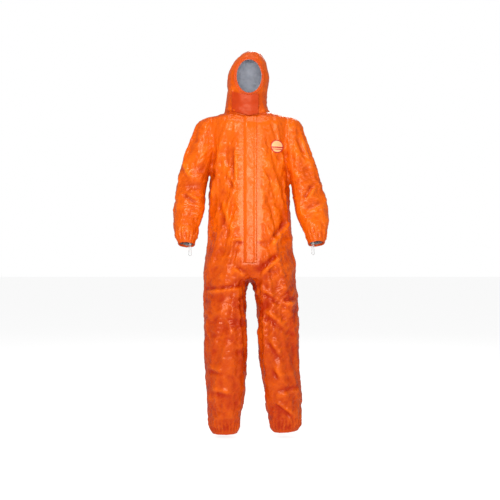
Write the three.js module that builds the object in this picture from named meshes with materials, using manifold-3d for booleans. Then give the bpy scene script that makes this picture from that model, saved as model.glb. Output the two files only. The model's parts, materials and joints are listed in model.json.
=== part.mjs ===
// Hooded chemical protective coverall, standing as worn: body, hood, sleeves and legs of coated
// laminate, with a zip under a storm flap, a chin flap, elasticated openings and finger loops.
// Millimetres, +Z up, the suit faces -Y and its wearer's left is +X. Heights in this file are
// measured from the trouser hems; the exported group is lowered so that the origin is at the neck.
import * as THREE from "three";
import { mergeVertices } from "three/addons/utils/BufferGeometryUtils.js";
import Module from "manifold-3d";

const wasm = await Module();
wasm.setup();

// ---------------------------------------------------------------- driving dimensions
const FAR = 400; // past every edge of the suit's width and depth
const UNDER = 600; // cutting boxes run between these two heights, past the body's bottom and top
const OVER = 1500;
const OVER_HOOD = 1800; // above the top of the hood
const WALL = 2; // laminate shell thickness
const GAP = 0.5; // between a layer and the shell under it
const TAPE = 0.8; // seam tape thickness
const TAPE_WIDTH = 22;
const CLEARANCE = 3; // between a moving part and the shell it turns in
const NECK_HEIGHT = 1440; // the frame's origin, above the hems

const BODY_BOTTOM = 800;
const BODY_TOP = 1452;
const CROTCH_HEIGHT = 700;
const WAIST_HEIGHT = 1010;

const ZIP_X = 6;
const ZIP_TOP = 1385;
const ZIP_BOTTOM = 803;
const FRONT_AT_ZIP_TOP = 113; // depth of the body's front at the top of the zip
const FRONT_SLOPE = 0.014; // the straight front leans out this much per millimetre downwards

const FACE = { height: 1612, halfWidth: 54, halfHeight: 77 };
const HOOD_BOTTOM = 1456;
const HOOD_PIVOT = new THREE.Vector3(0, 10, HOOD_BOTTOM);
const HOOD_NOD = [-20, 15];
const HOOD_STRIP = 38; // half the width of the hood's centre strip

// Limbs, by the wearer's side. Each runs from one joint to the next; right is -X.
const LIMBS = {
  left: {
    side: 1,
    shoulder: [190, 8, 1358],
    elbow: [278, 0, 1086],
    wrist: [299, -80, 857],
    hip: [116, 0, 790],
    knee: [130, -5, 440],
    ankle: [164, 5, 10],
  },
  right: {
    side: -1,
    shoulder: [-190, 8, 1358],
    elbow: [-272, 0, 1087],
    wrist: [-282, -78, 853],
    hip: [-113, 0, 790],
    knee: [-114, -5, 440],
    ankle: [-113, 5, 0],
  },
};
const ELBOW_CUT = [-14, 70]; // how far the upper sleeve's end lies past the joint, behind and in front
const KNEE_CUT = [-60, 78]; // the same for the thigh, in front and behind

// ---------------------------------------------------------------- materials
const material = (color, roughness, metalness = 0) =>
  new THREE.MeshStandardMaterial({ color, roughness, metalness });
const laminate = material(0xf2641a, 0.35);
const seamTape = material(0xe4560f, 0.25);
const flapLaminate = material(0xf0701c, 0.4);
const whiteElastic = material(0xe9e9e6, 0.8);
const zipTape = material(0xdf5a16, 0.8);
const zipPlastic = material(0xd9541a, 0.45);
const releaseLiner = material(0xf3efe4, 0.5);
const badgePrint = material(0xf5dcd2, 0.5);
const labelCloth = material(0xf4f4f4, 0.8);

// ---------------------------------------------------------------- solids
/** A manifold solid from a closed three.js geometry. */
function solid(geometry) {
  const bare = new THREE.BufferGeometry();
  const whole = geometry.index ? geometry.toNonIndexed() : geometry;
  bare.setAttribute("position", whole.getAttribute("position"));
  const merged = mergeVertices(bare, 1e-3);
  const make = (triVerts) =>
    new wasm.Manifold(
      new wasm.Mesh({
        numProp: 3,
        vertProperties: merged.attributes.position.array,
        triVerts,
      }),
    );
  const triVerts = new Uint32Array(merged.index.array);
  const made = make(triVerts);
  return made.volume() < 0 ? make(triVerts.reverse()) : made;
}

/** A three.js geometry from a manifold solid. */
function geometryOf(manifold) {
  const mesh = manifold.getMesh();
  const geometry = new THREE.BufferGeometry();
  geometry.setAttribute("position", new THREE.BufferAttribute(mesh.vertProperties, 3));
  geometry.setIndex(new THREE.BufferAttribute(mesh.triVerts, 1));
  const flat = geometry.toNonIndexed();
  flat.computeVertexNormals();
  return flat;
}

/** The largest of the bodies that cuts have left, without their slivers. */
function largest(manifold) {
  return manifold.decompose().reduce((a, b) => (b.volume() > a.volume() ? b : a));
}

/** Adds the solid to a group as a named mesh with a material of its own. */
function add(group, name, shape, look) {
  const geometry = shape.isBufferGeometry ? shape : geometryOf(largest(shape));
  const mesh = new THREE.Mesh(geometry, look.clone());
  mesh.name = name;
  group.add(mesh);
  return mesh;
}

/** A box given by its lowest and highest corners. */
function block(low, high) {
  const [a, b] = [new THREE.Vector3(...low), new THREE.Vector3(...high)];
  const size = b.clone().sub(a);
  const centre = a.clone().add(b).multiplyScalar(0.5);
  return new THREE.BoxGeometry(size.x, size.y, size.z).translate(centre.x, centre.y, centre.z);
}
const box = (low, high) => solid(block(low, high));

/** The solid moved by a three.js matrix. */
const moved = (manifold, matrix) => manifold.transform(matrix.elements);

/** The matrix of a frame at a point, turned by some degrees about an axis. */
function turnedAt(point, axis, degrees) {
  const frame = new THREE.Matrix4().makeRotationAxis(axis, THREE.MathUtils.degToRad(degrees));
  return frame.setPosition(point);
}

/**
 * A tube that ends on a slant, so that the next tube can bend up against it. The axis is the
 * hinge's, and the end runs from low on the outside of the bend to high on its inside.
 */
function slantedEnd(tube, point, axis, radius, [low, high]) {
  const up = new THREE.Vector3(0, 0, 1);
  const inside = axis.clone().cross(up).negate();
  const along = inside.clone().multiplyScalar(2 * radius).addScaledVector(up, high - low).normalize();
  const normal = axis.clone().cross(along);
  const middle = point.clone().addScaledVector(up, (low + high) / 2);
  const frame = new THREE.Matrix4().makeBasis(axis, along, normal).setPosition(middle);
  const [below, above] = normal.z > 0 ? [-FAR, 0] : [0, FAR];
  return tube.subtract(moved(box([-FAR, -FAR, below], [FAR, FAR, above]), frame));
}

// ---------------------------------------------------------------- lofted shells
/**
 * A closed solid lofted up the Z axis. edge(t, angle) gives the surface point at a share t of the
 * way up, and the angle is counted from +X towards +Y. Both ends are drawn straight out by overrun.
 */
function loft(sides, rings, edge, overrun = 0) {
  const stops = Array.from({ length: rings + 1 }, (_, i) => ({ t: i / rings, past: 0 }));
  if (overrun > 0) {
    stops.unshift({ t: 0, past: -overrun });
    stops.push({ t: 1, past: overrun });
  }
  const last = stops.length - 1;
  const rims = stops.map((_, i) => new THREE.Vector2(1, i));
  const profile = [new THREE.Vector2(0, 0), ...rims, new THREE.Vector2(0, last)];
  const geometry = new THREE.LatheGeometry(profile, sides);
  const place = geometry.getAttribute("position");
  for (let i = 0; i < place.count; i++) {
    const [x, z] = [place.getX(i), place.getZ(i)];
    const { t, past } = stops[Math.round(place.getY(i))];
    const middle = edge(t, 0).add(edge(t, Math.PI)).multiplyScalar(0.5);
    const point = Math.hypot(x, z) > 0.5 ? edge(t, Math.atan2(x, z)) : middle;
    place.setXYZ(i, point.x, point.y, point.z + past);
  }
  return solid(geometry);
}

/** A point of a rounded-box section with its own depth in front and behind. */
function sectionPoint(angle, halfWidth, front, back, roundness, x, z) {
  const power = 2 / roundness;
  const along = (v) => Math.sign(v) * Math.abs(v) ** power;
  const sine = along(Math.sin(angle));
  return new THREE.Vector3(
    x + halfWidth * along(Math.cos(angle)),
    sine * (sine < 0 ? front : back),
    z,
  );
}

const BODY_SIDES = 32;
const HOOD_SIDES = 28;
const HOOD_RINGS = 11;

// The body's half width, back depth and height, from the hips to the neck.
const BODY_STATIONS = [
  [207, 120, BODY_BOTTOM],
  [191, 112, 950],
  [178, 110, 1100],
  [168, 113, 1250],
  [172, 98, ZIP_TOP],
  [163, 86, 1425],
  [140, 76, 1441],
  [98, 66, BODY_TOP],
];
const bodyCurve = new THREE.CatmullRomCurve3(BODY_STATIONS.map((p) => new THREE.Vector3(...p)));
const BODY_RINGS = 2 * (BODY_STATIONS.length - 1);

/** Depth of the body's front: straight along the zip, then rounded in towards the neck. */
function frontDepth(height) {
  const straight = FRONT_AT_ZIP_TOP + FRONT_SLOPE * (ZIP_TOP - height);
  const over = Math.max(0, height - ZIP_TOP) / (BODY_TOP - ZIP_TOP);
  return straight - 45 * over ** 2;
}

/** The body's solid, grown by an offset. */
function bodySolid(offset, overrun) {
  const edge = (t, angle) => {
    const p = bodyCurve.getPoint(t);
    const front = frontDepth(p.z) + offset;
    return sectionPoint(angle, p.x + offset, front, p.y + offset, 2.5, 0, p.z);
  };
  return loft(BODY_SIDES, BODY_RINGS, edge, overrun);
}

// The hood's half width, front depth, back depth and height, from the neck to the crown.
const HOOD_STATIONS = [
  [96, 82, 82, 1440],
  [93, 88, 84, 1480],
  [92, 95, 90, 1530],
  [95, 101, 99, 1580],
  [95, 104, 106, 1625],
  [87, 98, 106, 1665],
  [74, 84, 98, 1693],
  [56, 62, 82, 1713],
  [34, 34, 56, 1727],
  [3, 2, 10, 1733],
];
const hoodSides = new THREE.CatmullRomCurve3(
  HOOD_STATIONS.map(([a, , , z]) => new THREE.Vector3(a, 0, z)),
);
const hoodDepths = new THREE.CatmullRomCurve3(
  HOOD_STATIONS.map(([, f, b]) => new THREE.Vector3(f, b, 0)),
);

/** The hood's solid, grown by an offset; the crown leans a little to the wearer's left. */
function hoodSolid(offset) {
  const edge = (t, angle) => {
    const p = hoodSides.getPoint(t);
    const d = hoodDepths.getPoint(t);
    const lean = 26 * t ** 2 - 15;
    const z = p.z + offset * t ** 4;
    return sectionPoint(angle, p.x + offset, d.x + offset, d.y + offset, 2.1, lean, z);
  };
  return loft(HOOD_SIDES, HOOD_RINGS, edge);
}

const bodyLayer = (inner, outer) => bodySolid(outer).subtract(bodySolid(inner, 20));
const underHood = box([-FAR, -FAR, 0], [FAR, FAR, HOOD_BOTTOM]);
const hoodLayer = (inner, outer) => hoodSolid(outer).subtract(hoodSolid(inner)).subtract(underHood);

/** A limb's solid of revolution down its own -Z axis, grown by an offset. */
function limbSolid(profile, offset, sides, overrun) {
  const curve = new THREE.CatmullRomCurve3(profile.map(([r, s]) => new THREE.Vector3(r, 0, -s)));
  const edge = (t, angle) => {
    const p = curve.getPoint(1 - t);
    const radius = p.x + offset;
    return sectionPoint(angle, radius, radius, radius, 2, 0, p.z);
  };
  return loft(sides, profile.length + 1, edge, overrun);
}

/** A tube of wall thickness along a limb's profile. */
const limbShell = (profile, sides) =>
  limbSolid(profile, 0, sides).subtract(limbSolid(profile, -WALL, sides, 20));

/** A group at one joint whose -Z axis points to the next; both are in the suit's frame. */
function limbGroup(parent, from, to) {
  const group = new THREE.Group();
  group.position.set(...from);
  const along = new THREE.Vector3(...to).sub(group.position).normalize();
  group.quaternion.setFromUnitVectors(new THREE.Vector3(0, 0, -1), along);
  group.updateMatrixWorld(true);
  parent.attach(group);
  return group;
}
const distance = (a, b) => new THREE.Vector3(...a).distanceTo(new THREE.Vector3(...b));

/** A flat ring about the Z axis between two radii and two heights. */
function ring(inner, outer, low, high, sides) {
  const profile = [
    [inner, low],
    [outer, low],
    [outer, high],
    [inner, high],
    [inner, low],
  ].map(([r, z]) => new THREE.Vector2(r, z));
  return new THREE.LatheGeometry(profile, sides).rotateX(Math.PI / 2);
}

/** A cylinder along Y, elliptical in X and Z, covering the front half only. */
function frontPost(x, height, halfWidth, halfHeight) {
  const post = new THREE.CylinderGeometry(1, 1, 200, 40);
  post.scale(halfWidth, 1, halfHeight).translate(x, -102, height);
  return solid(post);
}

const suit = new THREE.Group();
const X_AXIS = new THREE.Vector3(1, 0, 0);

// ---------------------------------------------------------------- limb profiles: radius, distance
const SHOULDER_BALL = 72;
const BALL_FACETS = [22, 12];
const SLEEVE_HEAD_INSIDE = 30; // the sleeve head ends this far towards the body from its joint
const ELBOW_RADIUS = 69;
const upperSleeve = (length) => [
  [68, 10],
  [66, 60],
  [67, 150],
  [ELBOW_RADIUS, length],
  [ELBOW_RADIUS, length + 30],
];
const lowerSleeve = (length) => [
  [38, -46],
  [53, -27],
  [60, 0],
  [63, 50],
  [62, 120],
  [56, length - 60],
  [46, length - 28],
  [38, length - 14.5],
];
const CUFF = { radius: 38, height: 14 };
const KNEE_RADIUS = 99;
const upperLeg = (length) => [
  [77, -34],
  [84, 0],
  [93, 60],
  [100, 130],
  [101, length - 120],
  [KNEE_RADIUS, length],
  [KNEE_RADIUS, length + 62],
];
const lowerLeg = (length) => [
  [60, -66],
  [82, -38],
  [90, 0],
  [92, 70],
  [89, 180],
  [84, length - 160],
  [76, length - 80],
  [64, length - 20.5],
];
const HEM = { radius: 64, height: 20 };
const LIMB_SIDES = 20;

// ---------------------------------------------------------------- limb groups
const groups = {};
for (const [name, limb] of Object.entries(LIMBS)) {
  const shoulder = limbGroup(suit, limb.shoulder, limb.elbow);
  const elbow = limbGroup(shoulder, limb.elbow, limb.wrist);
  const hip = limbGroup(suit, limb.hip, limb.knee);
  const knee = limbGroup(hip, limb.knee, limb.ankle);
  groups[name] = { shoulder, elbow, hip, knee };
}
suit.updateMatrixWorld(true);

/** The sleeve's outer solid in its own frame: a ball at the shoulder and the upper arm. */
function sleeveOuter(limb, offset) {
  const length = distance(limb.shoulder, limb.elbow);
  const ball = solid(new THREE.SphereGeometry(SHOULDER_BALL + offset, ...BALL_FACETS));
  return ball.add(limbSolid(upperSleeve(length), offset, LIMB_SIDES));
}

// ---------------------------------------------------------------- body panels
/** Cuts the room that the sleeve heads need out of a layer of the body. */
function openedForSleeves(layer) {
  const heads = Object.entries(LIMBS).map(([name, limb]) =>
    moved(sleeveOuter(limb, CLEARANCE), groups[name].shoulder.matrixWorld),
  );
  return heads.reduce((left, head) => left.subtract(head), layer);
}

/** Cuts the top of a layer of the body below the nodding hood's edge at both of its limits. */
function openedForHood(layer) {
  const pivot = HOOD_PIVOT.clone();
  pivot.z -= CLEARANCE;
  const back = moved(box([-FAR, 0, 0], [FAR, FAR, FAR]), turnedAt(pivot, X_AXIS, HOOD_NOD[0]));
  const front = moved(box([-FAR, -FAR, 0], [FAR, 0, FAR]), turnedAt(pivot, X_AXIS, HOOD_NOD[1]));
  return layer.subtract(back).subtract(front);
}

const shell = openedForHood(openedForSleeves(bodyLayer(-WALL, 0)));
const ZIP_HALF = 6; // the front panels stop this far from the middle of the zip
const SEAM_HALF = GAP / 2;
const quarter = (low, high) => shell.intersect(box([...low, UNDER], [...high, OVER]));
add(suit, "front_panel_left", quarter([ZIP_X + ZIP_HALF, -FAR], [FAR, -SEAM_HALF]), laminate);
add(suit, "front_panel_right", quarter([-FAR, -FAR], [ZIP_X - ZIP_HALF, -SEAM_HALF]), laminate);
add(suit, "back_panel_left", quarter([SEAM_HALF, SEAM_HALF], [FAR, FAR]), laminate);
add(suit, "back_panel_right", quarter([-FAR, SEAM_HALF], [-SEAM_HALF, FAR]), laminate);

/** The strip under the crotch, from the front to the back between the legs. */
function crotchGusset() {
  const half = 9;
  const depth = 124;
  const drop = BODY_BOTTOM - 0.5 - CROTCH_HEIGHT;
  const strip = new THREE.Shape();
  strip.absellipse(0, 0, depth, drop, 0, Math.PI, true);
  strip.absellipse(0, 0, depth - WALL, drop - WALL, Math.PI, 0, false);
  const geometry = new THREE.ExtrudeGeometry(strip, {
    depth: 2 * half,
    bevelEnabled: false,
    curveSegments: 24,
  });
  geometry.rotateX(Math.PI / 2).rotateZ(Math.PI / 2).translate(-half, 0, BODY_BOTTOM - 0.5);
  return geometry;
}
add(suit, "crotch_gusset", solid(crotchGusset()), laminate);

// Taped seams lie on the outside of the laminate. A band round each armhole joins the others.
const tapeLayer = openedForHood(openedForSleeves(bodyLayer(GAP, GAP + TAPE)));
const HALF_TAPE = TAPE_WIDTH / 2;
const ARMHOLE_MIDDLE = 1295; // the side seam ends under it and the shoulder seam starts over it

/** A ball at the shoulder that reaches some way past the room cleared for the sleeve head. */
function armholeBall(limb, reach) {
  const ball = new THREE.SphereGeometry(SHOULDER_BALL + CLEARANCE + reach, ...BALL_FACETS);
  return solid(ball.translate(...limb.shoulder));
}
const betweenArmholes = Object.values(LIMBS).reduce(
  (layer, limb) => layer.subtract(armholeBall(limb, TAPE_WIDTH + 1)),
  tapeLayer,
);
for (const [name, limb] of Object.entries(LIMBS)) {
  const [inner, outer] = limb.side > 0 ? [60, FAR] : [-FAR, -60];
  const strip = box([inner, -HALF_TAPE, UNDER], [outer, HALF_TAPE, OVER]);
  const seam = betweenArmholes.intersect(strip);
  const below = box([-FAR, -FAR, UNDER], [FAR, FAR, ARMHOLE_MIDDLE]);
  add(suit, `side_seam_tape_${name}`, seam.intersect(below), seamTape);
  add(suit, `shoulder_seam_tape_${name}`, seam.subtract(below), seamTape);
  const band = tapeLayer.intersect(armholeBall(limb, TAPE_WIDTH));
  add(suit, `armhole_seam_tape_${name}`, band, seamTape);
}
const backStrip = box([-HALF_TAPE, 40, UNDER], [HALF_TAPE, FAR, OVER]);
add(suit, "back_seam_tape", betweenArmholes.intersect(backStrip), seamTape);

// Inside the body: the waist elastic across the back and the label at the nape.
const liningLayer = bodyLayer(-WALL - 2, -WALL - 1);
const ELASTIC_WIDTH = 25;
const acrossBack = box([-FAR, 20, WAIST_HEIGHT], [FAR, FAR, WAIST_HEIGHT + ELASTIC_WIDTH]);
add(suit, "waist_elastic", liningLayer.intersect(acrossBack), whiteElastic);
const LABEL = { halfWidth: 25, low: 1330, high: 1375 };
const atNape = box([-LABEL.halfWidth, 0, LABEL.low], [LABEL.halfWidth, FAR, LABEL.high]);
add(suit, "neck_label", liningLayer.intersect(atNape), labelCloth);

// A plain round badge on the wearer's left chest.
const BADGE = { x: 123, height: 1292, radius: 27 };
const badgePost = frontPost(BADGE.x, BADGE.height, BADGE.radius, BADGE.radius);
add(suit, "chest_badge", bodyLayer(GAP, GAP + 0.6).intersect(badgePost), badgePrint);

// ---------------------------------------------------------------- zip and storm flap
// This group's -Z axis runs down the zip and its -Y axis points out of the suit.
const zip = new THREE.Group();
zip.position.set(ZIP_X, -FRONT_AT_ZIP_TOP, ZIP_TOP);
zip.rotation.x = -Math.atan(FRONT_SLOPE);
suit.add(zip);
const ZIP_LENGTH = ZIP_TOP - ZIP_BOTTOM;
const COIL = { inner: 0.7, outer: 2.7, front: 2, back: 4.4 };
const ZIP_TAPE = { inner: 3, outer: 18, front: 3, back: 3.8 };

for (const [name, { side }] of Object.entries(LIMBS)) {
  const strip = (part, low, high) => {
    const [a, b] = [side * part.inner, side * part.outer].sort((p, q) => p - q);
    return block([a, part.front, low], [b, part.back, high]);
  };
  add(zip, `zip_tape_${name}`, strip(ZIP_TAPE, -ZIP_LENGTH, 0), zipTape);
  add(zip, `zip_coil_${name}`, strip(COIL, 8 - ZIP_LENGTH, -6), zipPlastic);
}
add(zip, "zip_top_stop", block([-2.8, 1.8, -5.6], [2.8, 4.6, -2]), zipPlastic);
add(zip, "zip_bottom_stop", block([-2.8, 1.8, 2 - ZIP_LENGTH], [2.8, 4.6, 7.6 - ZIP_LENGTH]), zipPlastic);
add(zip, "inner_zip_guard", block([-24, 6.8, 1 - ZIP_LENGTH], [24, 7.8, -8]), laminate);

const SLIDER = { top: -8, bottom: -22, halfWidth: 5, front: 0.2, back: 6 };
const PEG_HEIGHT = -13; // the pull's pivot, down from the zip's top

/** A cylinder along Y between two depths. */
function post(radius, front, back, height) {
  const geometry = new THREE.CylinderGeometry(radius, radius, back - front, 20);
  return solid(geometry.translate(0, (front + back) / 2, height));
}

/** Two plates, one before and one behind the coils, joined by a web that runs between them. */
function zipSlider() {
  const { top, bottom, halfWidth, front, back } = SLIDER;
  const plate = (a, b) => box([-halfWidth, a, bottom], [halfWidth, b, top]);
  const web = box([-0.4, front, bottom + 5], [0.4, back, top]);
  const peg = post(1.3, -2.4, front + 0.5, PEG_HEIGHT);
  const head = post(2.3, -2.9, -2.3, PEG_HEIGHT);
  return plate(front, front + 1.4).add(plate(back - 1.2, back)).add(web).add(peg).add(head);
}
add(zip, "zip_slider", zipSlider(), zipPlastic);

/** A flat tab with a round eye that turns on the slider's peg. */
function zipPull() {
  const tab = new THREE.Shape();
  tab.moveTo(-2.2, 0);
  tab.absarc(0, 0, 3.6, Math.PI, 0, true);
  tab.lineTo(3.4, -22);
  tab.absarc(0, -22, 3.4, 0, -Math.PI, true);
  tab.lineTo(-3.6, 0);
  const eye = new THREE.Path().absarc(0, 0, 1.75, 0, 2 * Math.PI, false);
  tab.holes.push(eye);
  const geometry = new THREE.ExtrudeGeometry(tab, {
    depth: 1.1,
    bevelEnabled: false,
    curveSegments: 12,
  });
  return geometry.rotateX(Math.PI / 2).translate(0, -0.5, PEG_HEIGHT);
}
add(zip, "zip_pull", solid(zipPull()), zipPlastic);

const FLAP = { left: -33, right: 26, front: -4.6, back: -3.6, top: 14 };
const ADHESIVE = { left: 17, right: 25 };
const flapLow = [FLAP.left, FLAP.front, -ZIP_LENGTH];
add(zip, "storm_flap", block(flapLow, [FLAP.right, FLAP.back, FLAP.top]), flapLaminate);
for (const [name, front, back] of [
  ["storm_flap_adhesive", FLAP.back + 0.3, FLAP.back + 0.9],
  ["front_adhesive_tape", -1.1, -0.4],
]) {
  const low = [ADHESIVE.left, front, 10 - ZIP_LENGTH];
  add(zip, name, block(low, [ADHESIVE.right, back, -10]), releaseLiner);
}

// ---------------------------------------------------------------- hood
const facePost = (grow) =>
  frontPost(0, FACE.height, FACE.halfWidth + grow, FACE.halfHeight + grow);
const hoodShell = hoodLayer(-WALL, 0).subtract(facePost(0));
const chinHeight = FACE.height - FACE.halfHeight;
const hoodBox = (layer, low, high) => layer.intersect(box(low, high));
const throatTop = [HOOD_STRIP, 0, FACE.height - 40];
const throat = hoodBox(hoodShell, [-HOOD_STRIP, -FAR, HOOD_BOTTOM], throatTop);
add(suit, "throat_panel", throat, laminate);
const strip = hoodBox(hoodShell, [-HOOD_STRIP, -FAR, 0], [HOOD_STRIP, FAR, OVER_HOOD]);
const behindFace = box([-FAR, -20, 0], [FAR, FAR, OVER_HOOD]);
const aboveFace = box([-FAR, -FAR, FACE.height + 20], [FAR, 0, OVER_HOOD]);
add(suit, "hood_centre_panel", strip.intersect(behindFace.add(aboveFace)), laminate);
for (const [name, { side }] of Object.entries(LIMBS)) {
  const from = HOOD_STRIP + GAP;
  const ends = side > 0 ? [from, FAR] : [-FAR, -from];
  const half = hoodBox(hoodShell, [ends[0], -FAR, 0], [ends[1], FAR, OVER_HOOD]);
  add(suit, `hood_side_${name}`, half, laminate);
}

const FACE_HEM = 9; // width of the hem round the face opening
const HALF_HOOD_TAPE = 8;
const hoodTape = hoodLayer(GAP, GAP + TAPE).subtract(facePost(FACE_HEM + 1.5));
for (const [name, { side }] of Object.entries(LIMBS)) {
  const centre = side * HOOD_STRIP;
  const low = [centre - HALF_HOOD_TAPE, -60, HOOD_BOTTOM + 4];
  const high = [centre + HALF_HOOD_TAPE, FAR, OVER_HOOD];
  add(suit, `hood_seam_tape_${name}`, hoodBox(hoodTape, low, high), seamTape);
}
const faceRing = (layer) => layer.intersect(facePost(FACE_HEM)).subtract(facePost(0.4));
add(suit, "face_hem", faceRing(hoodLayer(GAP, GAP + 1.6)), laminate);
add(suit, "face_elastic", faceRing(hoodLayer(-WALL - 3, -WALL - 1)), whiteElastic);

// The chin flap wraps across the throat and closes on the wearer's left.
const CHIN_FLAP = { right: -66, left: 50, low: HOOD_BOTTOM + 4, high: chinHeight - 13 };
const chinBox = (layer, from, to) =>
  layer.intersect(box([from, -FAR, CHIN_FLAP.low], [to, -20, CHIN_FLAP.high]));
const flap = chinBox(hoodLayer(2.4, 3.4), CHIN_FLAP.right, CHIN_FLAP.left);
add(suit, "chin_flap", flap, flapLaminate);
const liner = chinBox(hoodLayer(0.9, 1.7), CHIN_FLAP.left - 16, CHIN_FLAP.left - 4);
add(suit, "chin_flap_adhesive", liner, releaseLiner);

// ---------------------------------------------------------------- sleeves
/** The forearm's bending axis in the shoulder group's own frame. */
function elbowAxis(shoulder) {
  const forward = new THREE.Vector3(0, -1, 0);
  const toLocal = shoulder.quaternion.clone().invert();
  const along = new THREE.Vector3(0, 0, -1);
  return along.cross(forward.applyQuaternion(toLocal)).normalize();
}

/** The sleeve from the armhole to the elbow, open towards the body and at its lower end. */
function upperSleeveShell(limb, shoulder, elbow) {
  const length = distance(limb.shoulder, limb.elbow);
  const hollow = solid(new THREE.SphereGeometry(SHOULDER_BALL - WALL, ...BALL_FACETS)).add(
    limbSolid(upperSleeve(length), -WALL, LIMB_SIDES, 20),
  );
  const inside = limb.shoulder[0] - limb.side * SLEEVE_HEAD_INSIDE;
  const [from, to] = limb.side > 0 ? [-FAR, inside] : [inside, FAR];
  const body = moved(box([from, -FAR, 0], [to, FAR, 1600]), shoulder.matrixWorld.clone().invert());
  const tube = sleeveOuter(limb, 0).subtract(hollow).subtract(body);
  return slantedEnd(tube, elbow.position, elbowAxis(shoulder), ELBOW_RADIUS, ELBOW_CUT);
}

/** A flat elastic loop that hangs from inside the cuff, in its own frame, with its top at zero. */
function fingerLoop() {
  const width = 14;
  const length = 62;
  const elastic = 1.4;
  const stadium = (shape, r) => {
    shape.absarc(0, -width / 2, r, 0, Math.PI, false);
    shape.absarc(0, width / 2 - length, r, Math.PI, 2 * Math.PI, false);
    return shape.closePath();
  };
  const loop = stadium(new THREE.Shape(), width / 2);
  loop.holes.push(stadium(new THREE.Path(), width / 2 - elastic));
  const band = 5;
  const geometry = new THREE.ExtrudeGeometry(loop, {
    depth: band,
    bevelEnabled: false,
    curveSegments: 10,
  });
  return geometry.translate(0, 0, -band / 2).rotateX(Math.PI / 2);
}

const LOOP_INSIDE = 12; // the loop's top is this far up inside the cuff
for (const [name, limb] of Object.entries(LIMBS)) {
  const { shoulder, elbow } = groups[name];
  add(shoulder, `sleeve_upper_${name}`, upperSleeveShell(limb, shoulder, elbow), laminate);
  const length = distance(limb.elbow, limb.wrist);
  add(elbow, `sleeve_lower_${name}`, limbShell(lowerSleeve(length), LIMB_SIDES), laminate);
  const cuffEnds = [-length, CUFF.height - length];
  const cuff = ring(CUFF.radius - WALL, CUFF.radius, ...cuffEnds, LIMB_SIDES);
  add(elbow, `sleeve_cuff_${name}`, solid(cuff), laminate);
  const inner = CUFF.radius - WALL - GAP;
  const elastic = ring(inner - 1.5, inner, cuffEnds[0] + 2, cuffEnds[1] - 2, LIMB_SIDES);
  add(elbow, `wrist_elastic_${name}`, solid(elastic), whiteElastic);

  const loop = new THREE.Group();
  loop.position.set(limb.wrist[0] - limb.side * 16, limb.wrist[1] - 2, limb.wrist[2] + LOOP_INSIDE);
  suit.add(loop);
  add(loop, `finger_loop_${name}`, solid(fingerLoop()), whiteElastic);
}

// ---------------------------------------------------------------- legs
for (const [name, limb] of Object.entries(LIMBS)) {
  const { hip, knee } = groups[name];
  const thighLength = distance(limb.hip, limb.knee);
  const length = distance(limb.knee, limb.ankle);
  const thigh = limbShell(upperLeg(thighLength), LIMB_SIDES);
  const bend = X_AXIS.clone().applyQuaternion(hip.quaternion.clone().invert());
  const cut = slantedEnd(thigh, knee.position, bend, KNEE_RADIUS, KNEE_CUT);
  add(hip, `leg_upper_${name}`, cut, laminate);
  add(knee, `leg_lower_${name}`, limbShell(lowerLeg(length), LIMB_SIDES), laminate);
  const ends = [-length, HEM.height - length];
  add(knee, `ankle_hem_${name}`, solid(ring(HEM.radius - WALL, HEM.radius, ...ends, LIMB_SIDES)), laminate);
  const inner = HEM.radius - WALL - GAP;
  const elastic = ring(inner - 1.5, inner, ends[0] + 4, ends[1] - 4, LIMB_SIDES);
  add(knee, `ankle_elastic_${name}`, solid(elastic), whiteElastic);
}

// The origin goes to the middle of the neck, where the wearer carries the suit.
suit.position.z = -NECK_HEIGHT;

export default suit;
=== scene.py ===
# Hooded chemical protective coverall: the looks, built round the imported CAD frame.
# Metres. The suit faces -Y, the wearer's left is +X, and the origin is at the neck.
import itertools
import json
import math
from collections import namedtuple

import bpy
import numpy as np
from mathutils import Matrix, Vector
from mathutils.bvhtree import BVHTree


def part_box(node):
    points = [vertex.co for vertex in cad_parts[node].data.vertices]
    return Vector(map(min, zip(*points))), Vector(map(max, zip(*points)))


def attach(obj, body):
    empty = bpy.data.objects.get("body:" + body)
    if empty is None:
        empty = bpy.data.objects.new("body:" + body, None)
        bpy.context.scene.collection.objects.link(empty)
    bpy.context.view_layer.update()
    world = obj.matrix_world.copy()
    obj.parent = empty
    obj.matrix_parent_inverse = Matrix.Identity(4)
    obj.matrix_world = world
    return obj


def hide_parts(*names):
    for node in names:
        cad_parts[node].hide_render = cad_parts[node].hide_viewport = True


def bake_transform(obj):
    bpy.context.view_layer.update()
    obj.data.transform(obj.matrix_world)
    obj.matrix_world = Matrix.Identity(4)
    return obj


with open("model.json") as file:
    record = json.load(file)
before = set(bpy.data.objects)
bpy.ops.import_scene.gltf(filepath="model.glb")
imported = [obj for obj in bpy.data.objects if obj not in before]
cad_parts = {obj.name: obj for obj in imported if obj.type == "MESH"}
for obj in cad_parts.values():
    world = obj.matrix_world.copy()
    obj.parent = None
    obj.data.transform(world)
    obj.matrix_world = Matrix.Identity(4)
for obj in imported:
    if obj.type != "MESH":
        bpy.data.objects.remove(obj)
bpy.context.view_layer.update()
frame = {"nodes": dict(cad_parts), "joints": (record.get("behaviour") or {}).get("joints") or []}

SIDES = {"left": 1, "right": -1}
JOINTS = {joint["name"]: joint for joint in frame["joints"]}

# ---- places from the frame


def joint_at(name):
    return np.array(JOINTS[name]["pos_m"], float)


def box_of(node):
    low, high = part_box(node)
    return np.array(low), np.array(high)


def middle_of(node):
    low, high = box_of(node)
    return (low + high) / 2


HEM_Z = box_of("ankle_hem_right")[0][2]
NECK_Z = box_of("front_panel_left")[1][2]
SHOULDER_Z = joint_at("shoulder_left")[2]
ZIP_LOW, ZIP_HIGH = box_of("zip_tape_left")[0][2], box_of("zip_tape_left")[1][2]
ZIP_X = (box_of("zip_tape_left")[0][0] + box_of("zip_tape_right")[1][0]) / 2

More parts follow.
